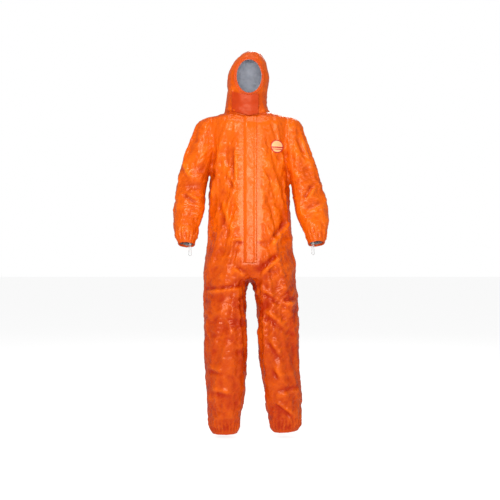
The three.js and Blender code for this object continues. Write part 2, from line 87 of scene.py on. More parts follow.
GRID = 0.009  # size of a face of the cloth before it is divided
HEM_RADIUS = 0.0570
CUFF_RADIUS = 0.037
FACE_HALF = (0.056, 0.076)
FACE_CENTRE = middle_of("face_hem") - (0.002, 0, 0.006)
FAR = 9.0  # stands for anywhere too far away to matter

# ---- mesh helpers


def linked(name, data):
    """A new object that holds some data, in the scene."""
    made = bpy.data.objects.new(name, data)
    bpy.context.scene.collection.objects.link(made)
    return made


def new_object(name, vertices, faces):
    mesh = bpy.data.meshes.new(name)
    mesh.from_pydata([tuple(v) for v in vertices], [], [tuple(f) for f in faces])
    mesh.update()
    mesh.polygons.foreach_set("use_smooth", [True] * len(mesh.polygons))
    return linked(name, mesh)


def store_painted_light_and_shade(target, values):
    """Keeps the painted light and shade for each vertex, which the laminate's material reads."""
    shade = target.data.attributes.new("shade", "FLOAT", "POINT")
    shade.data.foreach_set("value", values.astype(np.float32))


def coordinates(mesh):
    flat = np.empty(len(mesh.vertices) * 3)
    mesh.vertices.foreach_get("co", flat)
    return flat.reshape(-1, 3)


def set_coordinates(mesh, points):
    mesh.vertices.foreach_set("co", points.ravel())
    mesh.update()


def normals(mesh):
    flat = np.empty(len(mesh.vertices) * 3, np.float32)
    mesh.vertex_normals.foreach_get("vector", flat)
    return flat.reshape(-1, 3).astype(float)


def apply_modifiers(target):
    """Turns the object's modifiers into its mesh."""
    graph = bpy.context.evaluated_depsgraph_get()
    made = bpy.data.meshes.new_from_object(target.evaluated_get(graph))
    target.modifiers.clear()
    old = target.data
    target.data = made
    bpy.data.meshes.remove(old)


def smoothstep(low, high, value):
    t = np.clip((value - low) / (high - low), 0, 1)
    return t * t * (3 - 2 * t)


def spline(stations, steps):
    """A smooth curve through rows of numbers, sampled evenly: Catmull-Rom."""
    rows = np.array(stations, float)
    padded = np.vstack([2 * rows[0] - rows[1], rows, 2 * rows[-1] - rows[-2]])
    out = []
    for i in range(len(rows) - 1):
        a, b, c, d = padded[i : i + 4]
        for t in np.arange(steps) / steps:
            out.append(
                0.5 * (2 * b + (c - a) * t + (2 * a - 5 * b + 4 * c - d) * t**2
                       + (3 * b - a - 3 * c + d) * t**3)
            )
    out.append(rows[-1])
    return np.array(out)


def loft(stations, roundness=2.0, sides=48, steps=4):
    """A closed solid through level sections: height, middle x, middle y, half width, front, back."""
    rings = spline(stations, steps)
    angles = np.arange(sides) / sides * 2 * math.pi
    power = 2 / roundness
    cosine = np.sign(np.cos(angles)) * np.abs(np.cos(angles)) ** power
    sine = np.sign(np.sin(angles)) * np.abs(np.sin(angles)) ** power
    vertices, faces = [], []
    for z, x, y, half, front, back in rings:
        depth = np.where(sine < 0, front, back)
        ring = np.column_stack([x + half * cosine, y + depth * sine, np.full(sides, z)])
        vertices.extend(ring)
    for i in range(len(rings) - 1):
        for k in range(sides):
            after = (k + 1) % sides
            a, b = i * sides, (i + 1) * sides
            faces.append((a + k, a + after, b + after, b + k))
    faces.append(tuple(range(sides - 1, -1, -1)))
    faces.append(tuple((len(rings) - 1) * sides + k for k in range(sides)))
    return vertices, faces


# ---- the garment's shape
BODY_SECTIONS = [  # height over the hems, middle x, half width, front, back
    (0.712, 0.000, 0.208, 0.104, 0.108),
    (0.760, 0.000, 0.219, 0.116, 0.118),
    (0.860, 0.000, 0.200, 0.121, 0.117),
    (1.000, 0.000, 0.186, 0.120, 0.112),
    (1.120, -0.004, 0.180, 0.118, 0.112),
    (1.250, 0.000, 0.172, 0.116, 0.114),
    (1.385, 0.000, 0.176, 0.113, 0.100),
    (1.424, 0.000, 0.172, 0.088, 0.084),
    (1.440, 0.000, 0.150, 0.072, 0.072),
    (1.451, 0.000, 0.096, 0.056, 0.056),
]
HOOD_SECTIONS = [
    (1.425, -0.010, 0.088, 0.066, 0.066),
    (1.462, -0.012, 0.094, 0.080, 0.080),
    (1.500, -0.014, 0.092, 0.089, 0.085),
    (1.550, -0.010, 0.091, 0.096, 0.094),
    (1.600, -0.006, 0.095, 0.101, 0.103),
    (1.640, -0.005, 0.088, 0.100, 0.106),
    (1.680, 0.002, 0.072, 0.088, 0.099),
    (1.710, 0.007, 0.050, 0.062, 0.080),
    (1.728, 0.011, 0.028, 0.032, 0.050),
    (1.735, 0.011, 0.004, 0.004, 0.010),
]
SLEEVE_SECTIONS = {  # height over the hems, middle x, half width
    "left": [
        (1.433, 0.164, 0.030), (1.412, 0.174, 0.058), (1.375, 0.187, 0.066), (1.310, 0.207, 0.072),
        (1.239, 0.238, 0.072), (1.135, 0.271, 0.073), (1.040, 0.290, 0.077), (0.967, 0.296, 0.067),
        (0.922, 0.297, 0.057), (0.886, 0.298, 0.047), (0.868, 0.299, 0.040), (0.840, 0.299, 0.037),
    ],
    "right": [
        (1.433, -0.166, 0.032), (1.412, -0.177, 0.060), (1.375, -0.193, 0.069), (1.310, -0.218, 0.078),
        (1.239, -0.247, 0.073), (1.135, -0.275, 0.066), (1.040, -0.283, 0.071), (0.967, -0.285, 0.065),
        (0.922, -0.284, 0.059), (0.886, -0.283, 0.050), (0.868, -0.282, 0.040), (0.840, -0.282, 0.037),
    ],
}
LEG_SECTIONS = {
    "left": [
        (0.860, 0.100, 0.070), (0.800, 0.108, 0.098), (0.700, 0.117, 0.106), (0.610, 0.127, 0.107),
        (0.500, 0.131, 0.106), (0.386, 0.136, 0.101), (0.300, 0.145, 0.093), (0.200, 0.158, 0.087),
        (0.131, 0.161, 0.083), (0.070, 0.161, 0.077), (0.030, 0.162, 0.069), (-0.010, 0.162, 0.061),
    ],
    "right": [
        (0.860, -0.098, 0.070), (0.800, -0.104, 0.098), (0.700, -0.112, 0.104), (0.610, -0.113, 0.106),
        (0.500, -0.112, 0.109), (0.386, -0.112, 0.108), (0.300, -0.112, 0.101), (0.200, -0.115, 0.090),
        (0.131, -0.115, 0.083), (0.070, -0.114, 0.077), (0.030, -0.113, 0.069), (-0.010, -0.113, 0.061),
    ],
}


def body_solid():
    rows = [(HEM_Z + z, x, 0.0, half, front, back) for z, x, half, front, back in BODY_SECTIONS]
    return loft(rows, roundness=2.5)


def hood_solid():
    rows = [(HEM_Z + z, x, 0.0, half, front, back) for z, x, half, front, back in HOOD_SECTIONS]
    return loft(rows, roundness=2.15)


def sleeve_solid(side):
    """A sleeve that hangs straight to the elbow and then forward to the cuff."""
    shoulder, elbow = joint_at(f"shoulder_{side}"), joint_at(f"elbow_{side}")
    wrist = middle_of(f"sleeve_cuff_{side}")
    rows = []
    for height, x, half in SLEEVE_SECTIONS[side]:
        z = HEM_Z + height
        y = np.interp(-z, [-shoulder[2], -elbow[2], -wrist[2]], [shoulder[1], elbow[1], wrist[1]])
        if z < wrist[2]:
            y -= (wrist[2] - z) * 0.35
        rows.append((z, x, y, half, half, half))
    return loft(rows)


def leg_solid(side):
    hip, knee = joint_at(f"hip_{side}"), joint_at(f"knee_{side}")
    ankle = middle_of(f"ankle_hem_{side}")
    rows = []
    for height, x, half in LEG_SECTIONS[side]:
        z = HEM_Z + height
        y = np.interp(-z, [-hip[2], -knee[2], -ankle[2]], [hip[1], knee[1], ankle[1]])
        rows.append((z, x, y, half, half, half))
    return loft(rows)


def one_skin():
    """All of the suit's closed forms made into one closed skin with an even grid."""
    vertices, faces = [], []
    solids = [body_solid(), hood_solid()]
    solids += [make(side) for make in (sleeve_solid, leg_solid) for side in SIDES]
    for points, polygons in solids:
        start = len(vertices)
        vertices.extend(points)
        faces.extend([tuple(start + i for i in polygon) for polygon in polygons])
    skin = new_object("garment", vertices, faces)
    remesh = skin.modifiers.new("remesh", "REMESH")
    remesh.mode = "VOXEL"
    remesh.voxel_size = GRID
    soften = skin.modifiers.new("soften", "SMOOTH")
    soften.factor = 0.5
    soften.iterations = 7
    apply_modifiers(skin)
    return skin


def limb_end(side, joint, node, beyond):
    """The middle of a limb's open end, and the way that the limb points there."""
    start, ring = joint_at(f"{joint}_{side}"), middle_of(f"{node}_{side}")
    along = (ring - start) / np.linalg.norm(ring - start)
    return ring + along * beyond, along


def end_rings():
    """Every limb's open end: its middle, direction and radius."""
    rings = {}
    for side in SIDES:
        rings[f"cuff_{side}"] = (*limb_end(side, "elbow", "sleeve_cuff", 0.007), CUFF_RADIUS)
        rings[f"hem_{side}"] = (*limb_end(side, "knee", "ankle_hem", 0.010), HEM_RADIUS)
    return rings


ENDS = end_rings()


def face_reach(points):
    """Below 1 inside the face opening, and 1 on its edge; large behind the head's middle."""
    across = (points[:, 0] - FACE_CENTRE[0]) / FACE_HALF[0]
    up = (points[:, 2] - FACE_CENTRE[2]) / FACE_HALF[1]
    reach = np.hypot(across, up)
    return np.where(points[:, 1] < -0.02, reach, FAR)


def cut_openings(skin):
    """Opens the skin at the face, cuffs and ankles, and draws each edge onto its true outline."""
    points = coordinates(skin.data)
    gone = face_reach(points) < 1
    for middle, along, radius in ENDS.values():
        offset = points - middle
        near = np.linalg.norm(offset, axis=1) < 1.6 * radius
        gone |= near & (offset @ along > 0)
    faces = [tuple(p.vertices) for p in skin.data.polygons if not gone[list(p.vertices)].any()]
    used = sorted({i for face in faces for i in face})
    place = {old: new for new, old in enumerate(used)}
    name = skin.name
    bpy.data.objects.remove(skin)
    opened = new_object(name, points[used], [[place[i] for i in face] for face in faces])
    snap_edges(opened)
    return opened


def boundary_vertices(mesh):
    count = {}
    for polygon in mesh.polygons:
        for key in polygon.edge_keys:
            count[key] = count.get(key, 0) + 1
    return sorted({i for key, n in count.items() if n == 1 for i in key})


def snap_edges(skin):
    points = coordinates(skin.data)
    for i in boundary_vertices(skin.data):
        p = points[i]
        if face_reach(p[None])[0] < 3:
            p[[0, 2]] += (FACE_CENTRE - p)[[0, 2]] * (1 - 1 / face_reach(p[None])[0])
            continue
        middle, along, radius = min(ENDS.values(), key=lambda end: np.linalg.norm(end[0] - p))
        out = p - middle
        out -= along * (out @ along)
        points[i] = middle + out / np.linalg.norm(out) * radius
    set_coordinates(skin.data, points)


def from_end(points, middle, along):
    """How far points lie past a limb's open end, along the limb, and how far from its middle line."""
    offset = points - middle
    past = offset @ along
    return past, np.linalg.norm(offset - np.outer(past, along), axis=1)


def distance_to_ends(points):
    """How far each point is from the plane of the nearest open limb end, along the limb."""
    nearest = np.full(len(points), FAR)
    for middle, along, radius in ENDS.values():
        past, beside = from_end(points, middle, along)
        nearest = np.where(beside < 1.8 * radius, np.minimum(nearest, np.abs(past)), nearest)
    return nearest


def beside_ends(points, reach):
    """1 at each open limb end, falling smoothly to 0 at a distance up the limb, and beside it."""
    held = np.zeros(len(points))
    for middle, along, radius in ENDS.values():
        past, beside = from_end(points, middle, along)
        in_reach = 1 - smoothstep(0.010, reach, np.abs(past))
        held = np.maximum(held, in_reach * (1 - smoothstep(1.9 * radius, 2.3 * radius, beside)))
    return held


def zip_strip(points, inner, outer):
    """1 on the front beside the zip, falling to 0 between two distances from it."""
    beside = np.abs(points[:, 0] - ZIP_X)
    strip = (1 - smoothstep(inner, outer, beside)) * (points[:, 1] < -0.03)
    return strip * smoothstep(ZIP_LOW - 0.06, ZIP_LOW, points[:, 2]) * (points[:, 2] < NECK_Z)


def holding(points):
    """How firmly the wearer and the seams hold each point, from 0, loose, to 1, fixed."""
    hold = np.full(len(points), 0.05)
    parts = [
        beside_ends(points, 0.045),
        1 - smoothstep(1.1, 1.6, face_reach(points)),
        0.35 * smoothstep(SHOULDER_Z, SHOULDER_Z + 0.05, points[:, 2]),
        zip_strip(points, 0.030, 0.090),
    ]
    return np.maximum.reduce([hold, *parts])


def settle(skin, frames=24, growth=0.06, farthest=0.022):
    """Lets the skin, cut a little larger than its wearer, buckle and sag as cloth."""
    before = coordinates(skin.data)
    group = skin.vertex_groups.new(name="hold")
    for i, weight in enumerate(holding(before)):
        group.add([i], float(weight), "REPLACE")
    cloth = skin.modifiers.new("cloth", "CLOTH")
    settings = cloth.settings
    settings.quality = 4
    settings.mass = 0.15
    settings.vertex_group_mass = "hold"
    settings.tension_stiffness = 20
    settings.compression_stiffness = 20
    settings.shear_stiffness = 10
    settings.bending_stiffness = 0.5
    settings.air_damping = 3
    settings.effector_weights.gravity = 0.35
    settings.shrink_min = -growth
    settings.shrink_max = -growth
    cloth.collision_settings.use_collision = False
    cloth.point_cache.frame_start = 1
    cloth.point_cache.frame_end = frames
    for i in range(1, frames + 1):
        bpy.context.scene.frame_set(i)
    apply_modifiers(skin)
    bpy.context.scene.frame_set(1)
    skin.vertex_groups.clear()
    moved = coordinates(skin.data) - before
    far = np.linalg.norm(moved, axis=1)
    share = farthest * np.tanh(far / farthest) / np.maximum(far, 1e-9)
    share *= 1 - beside_ends(before, 0.18)
    set_coordinates(skin.data, before + moved * share[:, None])


# ---- crumpling
# shade: the painted light and shade of each point
Skin = namedtuple("Skin", "points normals quads shade plain")  # plain: the points before they crumple
GRADIENTS = np.random.default_rng(11).normal(size=(64, 3))
GRADIENTS /= np.linalg.norm(GRADIENTS, axis=1)[:, None]
CELL_PRIMES = np.array([73856093, 19349663, 83492791])  # they spread the cells over the gradients
LOW_BITS = 0xFFFFFFFF


def lattice_noise(points, seed):
    """Smooth noise from about -1 to 1: blended random slopes on a lattice of unit cells."""
    cell = np.floor(points).astype(np.int64)
    inside = points - cell
    ease = inside**3 * (inside * (inside * 6 - 15) + 10)
    total = np.zeros(len(points))
    for corner in itertools.product((0, 1), repeat=3):
        key = (cell + corner) * CELL_PRIMES
        mixed = (key[:, 0] ^ key[:, 1] ^ key[:, 2] ^ (seed * 40503)) & LOW_BITS
        mixed = (mixed ^ (mixed >> 13)) * 1274126177 & LOW_BITS
        slope = GRADIENTS[(mixed >> 12) % len(GRADIENTS)]
        weight = np.prod(np.where(corner, ease, 1 - ease), axis=1)
        total += weight * np.sum(slope * (inside - corner), axis=1)
    return total * 1.6


def creases(points, size, seed, turn=0.0, squeeze=(1, 1, 1)):
    """Sharp ridges about a size apart, turned in the XZ plane and squeezed to run one way."""
    x, y, z = points.T
    turned = np.column_stack(
        [x * math.cos(turn) + z * math.sin(turn), y, z * math.cos(turn) - x * math.sin(turn)]
    )
    place = turned * np.array(squeeze) / size
    bent = place + 0.4 * lattice_noise(place * 0.7 + 9, seed + 100)[:, None]
    return 0.5 - 2 * np.abs(lattice_noise(bent, seed))


def near(points, centre, radius):
    """1 at a place, falling smoothly to 0 well beyond a radius."""
    return np.exp(-np.sum((points - np.array(centre)) ** 2, axis=1) / radius**2)


def at_height(x, height, y=0.0):
    return np.array([x, y, HEM_Z + height])


def fold(points, start, end, width, rise, facing=-1):
    """A ridge with a hollow beside it, between two places given as x and height over the hems."""
    run = np.subtract(end, start)
    length = np.linalg.norm(run)
    along = run / length
    offset = np.column_stack([points[:, 0], points[:, 2] - HEM_Z]) - start
    share = offset @ along / length
    across = offset @ np.array([-along[1], along[0]]) / width
    taper = smoothstep(-0.1, 0.3, share) * (1 - smoothstep(0.7, 1.1, share))
    this_side = smoothstep(0.0, 0.03, facing * points[:, 1])
    return rise * taper * this_side * (np.exp(-(across - 0.7) ** 2) - np.exp(-(across + 0.7) ** 2))


FRONT_FOLDS = [  # start, end, width, rise
    ((-0.070, 1.295), (-0.068, 1.130), 0.010, 0.0045),
    ((-0.105, 1.180), (-0.060, 1.090), 0.010, 0.0030),
    ((-0.140, 1.080), (-0.085, 0.900), 0.013, 0.0035),
    ((-0.085, 0.872), (0.070, 0.872), 0.009, 0.0050),
    ((0.182, 0.965), (0.084, 0.850), 0.011, 0.0060),
    ((0.135, 0.810), (0.040, 0.728), 0.011, 0.0065),
    ((-0.016, 0.722), (-0.070, 0.757), 0.009, 0.0045),
    ((-0.020, 0.668), (-0.215, 0.648), 0.009, 0.0045),
    ((0.215, 0.605), (0.150, 0.600), 0.012, 0.0060),
    ((0.040, 0.655), (0.140, 0.600), 0.010, 0.0035),
    ((0.060, 0.560), (0.170, 0.470), 0.012, 0.0040),
    ((0.075, 0.440), (0.140, 0.350), 0.012, 0.0035),
    ((0.105, 0.310), (0.135, 0.255), 0.012, 0.0045),
    ((0.110, 0.150), (0.200, 0.085), 0.010, 0.0050),
    ((0.225, 0.215), (0.120, 0.190), 0.012, 0.0035),
    ((-0.190, 0.300), (-0.120, 0.285), 0.010, 0.0030),
    ((-0.180, 0.205), (-0.070, 0.185), 0.012, 0.0030),
    ((-0.300, 1.090), (-0.225, 1.045), 0.009, 0.0040),
    ((-0.320, 1.235), (-0.270, 1.150), 0.010, 0.0035),
    ((0.300, 1.130), (0.245, 1.055), 0.010, 0.0045),
    ((0.330, 1.040), (0.255, 1.010), 0.011, 0.0040),
    ((0.215, 1.350), (0.260, 1.240), 0.010, 0.0035),
]
BACK_FOLDS = [
    ((-0.160, 1.330), (-0.060, 1.180), 0.014, 0.0040),
    ((0.160, 1.320), (0.070, 1.190), 0.014, 0.0040),
    ((0.150, 0.900), (0.030, 0.800), 0.014, 0.0050),
    ((-0.150, 0.905), (-0.030, 0.805), 0.014, 0.0050),
    ((0.040, 0.700), (0.190, 0.640), 0.012, 0.0045),
    ((-0.040, 0.695), (-0.190, 0.640), 0.012, 0.0045),
    ((0.060, 0.460), (0.200, 0.430), 0.011, 0.0050),
    ((-0.040, 0.455), (-0.190, 0.430), 0.011, 0.0050),
]


def gathers(points, count, reach, rise):
    """Pleats that run up from each elasticated limb end and die out."""
    total = np.zeros(len(points))
    for name, (middle, along, radius) in ENDS.items():
        offset = points - middle
        up = -(offset @ along)
        side = np.cross(along, (0, 1, 0))
        ahead = np.cross(side, along)
        angle = np.arctan2(offset @ ahead, offset @ side)
        apart = np.linalg.norm(offset + np.outer(up, along), axis=1)
        here = (apart < 2 * radius) & (up < reach)
        turns = round(count * radius / HEM_RADIUS)
        wander = 1.6 * lattice_noise(points / 0.05, 31)
        wave = 1 - 2 * np.abs(np.sin(angle * turns / 2 + wander))
        fade = smoothstep(0.004, 0.022, up) * (1 - smoothstep(0.35 * reach, reach, up))
        total += np.where(here, rise * wave * fade, 0)
    return total


def neck_seam(points):
    """Height over the hems of the seam between hood and body: a V in front, level behind."""
    front = 1.428 + 0.27 * np.abs(points[:, 0])
    ahead = smoothstep(0.0, 0.04, -points[:, 1])
    return 1.448 + (front - 1.448) * ahead


def calm(points):
    """How much the creases are held back: on the chest yoke, the chin and beside the zip."""
    height = points[:, 2] - HEM_Z
    front = smoothstep(0.0, 0.04, -points[:, 1])
    yoke = smoothstep(1.29, 1.33, height) * (np.abs(points[:, 0]) < 0.16) * front
    hood = smoothstep(1.44, 1.47, height)
    face = 1 - smoothstep(1.1, 1.6, face_reach(points))
    beside_zip = zip_strip(points, 0.03, 0.07)
    return 1 - np.maximum.reduce([0.6 * yoke, 0.45 * hood, 0.8 * face, 0.55 * beside_zip])


def crease_weights(points):
    """How strongly the creases run level, slanted either way and upright at each point."""
    height = points[:, 2] - HEM_Z
    level, down_left, down_right = (np.zeros(len(points)) for _ in range(3))
    for side, sign in SIDES.items():
        elbow, knee = joint_at(f"elbow_{side}"), joint_at(f"knee_{side}")
        level += 1.1 * near(points, elbow, 0.12) + 0.9 * near(points, knee + (0, 0, 0.12), 0.16)
        armpit = near(points, at_height(sign * 0.20, 1.22), 0.13)
        hip = near(points, at_height(sign * 0.10, 0.78), 0.15)
        thigh = near(points, at_height(sign * 0.13, 0.58), 0.17) if side == "left" else 0
        shin = near(points, at_height(sign * 0.15, 0.12), 0.11) if side == "left" else 0
        if side == "left":
            down_left += armpit + hip
            down_right += 1.4 * thigh + shin
        else:
            down_right += armpit + hip
    torso = (height > 0.85) & (height < 1.42) & (np.abs(points[:, 0]) < 0.17)
    upright = 0.7 * torso + 0.5 * (height < 0.2)
    return level, down_left, down_right, upright


def crumple(points):
    """How far each point moves along its normal: creases, placed folds, gathers and the neck seam."""
    level, down_left, down_right, upright = crease_weights(points)
    plain = 0.75
    layers = [(0.105, 0.0034), (0.052, 0.0029), (0.027, 0.0023), (0.0150, 0.0010)]
    total = np.zeros(len(points))
    for seed, (size, rise) in enumerate(layers):
        total += rise * (
            plain * creases(points, size, seed)
            + level * creases(points, size, seed + 10, 0, (0.45, 0.45, 1.3))
            + down_left * creases(points, size, seed + 20, -0.8, (0.4, 0.5, 1.3))
            + down_right * creases(points, size, seed + 30, 0.8, (0.4, 0.5, 1.3))
            + upright * creases(points, size, seed + 40, 0, (1.2, 1.2, 0.35))
        )
    total *= calm(points) * smoothstep(0.0, 0.03, distance_to_ends(points))
    for folds, facing in ((FRONT_FOLDS, -1), (BACK_FOLDS, 1)):
        for start, end, width, rise in folds:
            total += fold(points, start, end, width, 1.5 * rise, facing)
    total += gathers(points, 26, 0.085, 0.0028)
    past_seam = points[:, 2] - HEM_Z - neck_seam(points)
    ridge = 0.004 * np.exp(-(((past_seam - 0.012) / 0.009) ** 2))
    groove = 0.003 * np.exp(-((past_seam / 0.005) ** 2))
    return total + (np.abs(points[:, 0]) < 0.12) * (ridge - groove)


# ---- the zip's place
FLAP_HINGE = joint_at("storm_flap_swing")
FLAP_AXIS = np.array(JOINTS["storm_flap_swing"]["axis"], float)
FLAP_STANDOFF = 0.0041  # the flap's hinge line is this far in front of the body
FLAP_EDGES = (FLAP_HINGE[0], 0.032)
FLAP_ENDS = (HEM_Z + 0.775, HEM_Z + 1.428)


def zip_line(z):
    """Depth of the straight front that carries the zip."""
    slope = FLAP_AXIS[1] / FLAP_AXIS[2]
    return FLAP_HINGE[1] + FLAP_STANDOFF + (z - FLAP_HINGE[2]) * slope


def press_back(points):
    """Flattens the skin under the storm flap, and sinks a channel in it for the zip."""
    x, y, z = points.T
    beside = np.abs(x - ZIP_X)
    channel = 0.0046 * (1 - smoothstep(0.018, 0.023, beside))
    channel += 0.0019 * (1 - smoothstep(0.006, 0.011, beside))
    channel *= smoothstep(ZIP_LOW - 0.012, ZIP_LOW, z) * (1 - smoothstep(ZIP_HIGH, ZIP_HIGH + 0.012, z))
    weight = (1 - smoothstep(0.036, 0.065, beside)) * (y < -0.03)
    weight *= smoothstep(FLAP_ENDS[0] - 0.05, FLAP_ENDS[0] - 0.01, z)
    weight *= 1 - smoothstep(ZIP_HIGH, ZIP_HIGH + 0.025, z)
    pressed = points.copy()
    pressed[:, 1] = y + (zip_line(z) + channel - y) * weight
    return pressed


# ---- where each part's skin lies
NECK_BEND = (HEM_Z + 1.428, HEM_Z + 1.478)
ELBOW = np.array([0.27, 0.0, HEM_Z + 1.068])
FOREARM_OUT = np.array([0.25, 0.0, -0.97])
KNEE_BEND = (HEM_Z + 0.50, HEM_Z + 0.38)
CROTCH = np.array([0.02, 0.0, HEM_Z + 0.70])
THIGH_OUT = np.array([0.5, 0.0, -0.87])
SLEEVE_OUT = np.array([0.9, 0.0, -0.44])
ARMPITS = {"left": (0.187, 1.118), "right": (0.190, 1.130)}
ARM_GAP = {  # distance from the middle of the gap between arm and body, by height over the hems
    "left": ([0.85, 0.95, 1.04, 1.118], [0.228, 0.206, 0.192, 0.187]),
    "right": ([0.85, 0.95, 1.04, 1.130], [0.219, 0.202, 0.194, 0.190]),
}
LOWEST_CUFF = HEM_Z + 0.82


def region_of(points):
    """The name of the part of the suit that each point belongs to."""
    names = np.full(len(points), "torso", dtype=object)
    z = points[:, 2]
    names[z > NECK_BEND[0]] = "hood"
    for side, sign in SIDES.items():
        out = points * (sign, 1, 1)
        x, height = ARMPITS[side]
        past_armhole = (out - (x, 0, HEM_Z + height)) @ SLEEVE_OUT > 0
        past_gap = out[:, 0] > np.interp(z - HEM_Z, *ARM_GAP[side])
        arm = np.where(z > HEM_Z + height, past_armhole, past_gap) & (z > LOWEST_CUFF)
        leg = ((out - CROTCH) @ THIGH_OUT > 0) & (out[:, 0] > 0) & ~arm
        names[arm] = f"sleeve_upper_{side}"
        names[arm & ((out - ELBOW) @ FOREARM_OUT > 0)] = f"sleeve_lower_{side}"
        names[leg] = f"leg_upper_{side}"
        names[leg & (z < KNEE_BEND[0])] = f"leg_lower_{side}"
    return names


def level_zone(between):
    """A bend's start and end, one straight over the other, from their two heights."""
    return tuple((0, 0, z) for z in between)


def bends():
    """Where the skin of each moving part turns from its parent's body to its own."""
    zones = {"hood": ("torso", *level_zone(NECK_BEND))}
    for side, sign in SIDES.items():
        mirror = np.array((sign, 1, 1))
        x, height = ARMPITS[side]
        armpit = np.array([x, 0, HEM_Z + height])
        zones[f"sleeve_upper_{side}"] = ("torso", armpit * mirror, (armpit + 0.029 * SLEEVE_OUT) * mirror)
        forearm = (ELBOW + 0.08 * FOREARM_OUT) * mirror
        zones[f"sleeve_lower_{side}"] = (f"sleeve_upper_{side}", ELBOW * mirror, forearm)
        zones[f"leg_upper_{side}"] = ("torso", CROTCH * mirror, (CROTCH + 0.10 * THIGH_OUT) * mirror)
        zones[f"leg_lower_{side}"] = (f"leg_upper_{side}", *level_zone(KNEE_BEND))
    return zones


BENDS = bends()
REGIONS = ["torso", *BENDS]


def follow(piece, region):
    """Attaches a torso piece to the torso's body; any other piece stays where it is, with its transform
    baked into its mesh.
    """
    if region == "torso":
        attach(piece, "torso")
    else:
        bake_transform(piece)


def painted_light_and_shade(points, lift=0.0):
    """Painted light and shade on the orange, from 0 to 1: a painted highlight on ridges, and painted shade
    in hollows, low down, on the throat, on the upper hood, under the arms and between the legs.
    """
    height = points[:, 2] - HEM_Z
    # painted highlight on ridges and painted shade in hollows, from the lift; painted shade low down
    shade = 0.64 - 0.34 * (1 - smoothstep(0.62, 1.02, height)) + 50 * lift
    # painted shade on the throat under the face opening, and on the upper hood
    chin = smoothstep(1.42, 1.44, height) * (1 - smoothstep(1.52, 1.56, height))
    shade = shade - 0.22 * (chin * (points[:, 1] < -0.03)) - 0.12 * (height > 1.56)
    # painted shade under the arms and between the legs
    for side, sign in SIDES.items():
        shade = shade - 0.25 * near(points, at_height(sign * 0.19, 1.13), 0.07)
        shade = shade - 0.20 * near(points, at_height(sign * 0.04, 0.70), 0.08)
    return np.clip(shade, 0, 1)


def piece_of(skin, chosen, name, lift=0.0, inside_out=False):
    """A new object from some faces of a skin, which keeps the whole skin's smooth shading."""
    quads = skin.quads[chosen]
    used, corners = np.unique(quads, return_inverse=True)
    faces = corners.reshape(quads.shape)
    normal = skin.normals[used]
    if inside_out:
        faces, normal = faces[:, ::-1], -normal
    made = new_object(name, skin.points[used] + lift * skin.normals[used], faces.tolist())
    store_painted_light_and_shade(made, skin.shade[used])
    made.data.normals_split_custom_set_from_vertices(normal.tolist())
    return made


def subdivided(target):
    """The object's skin after one subdivision, as arrays."""
    surface = target.modifiers.new("finer", "SUBSURF")
    surface.levels = surface.render_levels = 1
    apply_modifiers(target)
    mesh = target.data
    corners = np.empty(len(mesh.loops), np.int32)
    mesh.loops.foreach_get("vertex_index", corners)
    return coordinates(mesh), normals(mesh), corners.reshape(-1, 4)


def vertex_normals(points, quads):
    """Smooth normals for bare arrays of points and faces."""
    a, b, c, d = (points[quads[:, i]] for i in range(4))
    face = np.cross(c - a, d - b)
    total = np.zeros_like(points)
    for i in range(4):
        np.add.at(total, quads[:, i], face)
    return total / np.maximum(np.linalg.norm(total, axis=1), 1e-12)[:, None]


# ---- strips laid on the skin
class Surface:
    """The finished skin, for rays that find where something lies on it."""

    def __init__(self, skin):
        self.tree = BVHTree.FromPolygons(skin.points.tolist(), skin.quads.tolist())

    def hit(self, origin, direction):
        point, normal, _, _ = self.tree.ray_cast(Vector(origin), Vector(direction), 1.0)
        return (np.array(point), np.array(normal)) if point else (None, None)

    def front(self, x, z, otherwise):
        """Depth of the front of the suit at each place of two arrays."""
        depths = np.array(np.broadcast_to(otherwise, x.shape), float)
        for i in np.ndindex(x.shape):
            point, _ = self.hit((x[i], -0.5, z[i]), (0, 1, 0))
            if point is not None:
                depths[i] = point[1]
        return depths


def strip_rows(surface, stations, half_width, lifts):
    """Rows of points across a strip. A station is a place inside the suit, a way out and a way across."""
    shares = np.linspace(-1, 1, len(lifts))
    rows = []
    for inside, outward, across in stations:
        row = []
        for share, lift in zip(shares, lifts):
            origin = np.asarray(inside) + np.asarray(across) * share * half_width
            point, normal = surface.hit(origin, outward)
            if point is None:
                break
            row.append(point + normal * lift)
        if len(row) == len(lifts):
            rows.append(row)
    return rows


def grid_quads(rows, columns, start=0):
    faces = []
    for i, k in itertools.product(range(rows - 1), range(columns - 1)):
        a = start + i * columns + k
        faces.append((a, a + 1, a + columns + 1, a + columns))
    return faces


def strips_skin(all_rows):
    """Several strips as one skin, each with its faces turned outward."""
    points, quads = [], []
    for rows, outward in all_rows:
        faces = grid_quads(len(rows), len(rows[0]), len(points))
        first = np.array(rows)
        turn = np.cross(first[1][0] - first[0][0], first[0][1] - first[0][0])
        if turn @ np.asarray(outward) > 0:
            faces = [face[::-1] for face in faces]
        points.extend(p for row in rows for p in row)
        quads.extend(faces)
    points, quads = np.array(points), np.array(quads)
    return Skin(points, vertex_normals(points, quads), quads, painted_light_and_shade(points), points)


TAPE_LIFTS = [-0.0006, 0.0008, 0.0010, 0.0013, 0.0010, 0.0008, -0.0006]


def limb_middle(side, joints, z):
    """The middle of a limb at a height, on the line between its joints."""
    first, second = joints
    share = (z - first[2]) / (second[2] - first[2])
    return first + (second - first) * share


def heights(high, low, step=0.006):
    return HEM_Z + np.arange(high, low, -step)


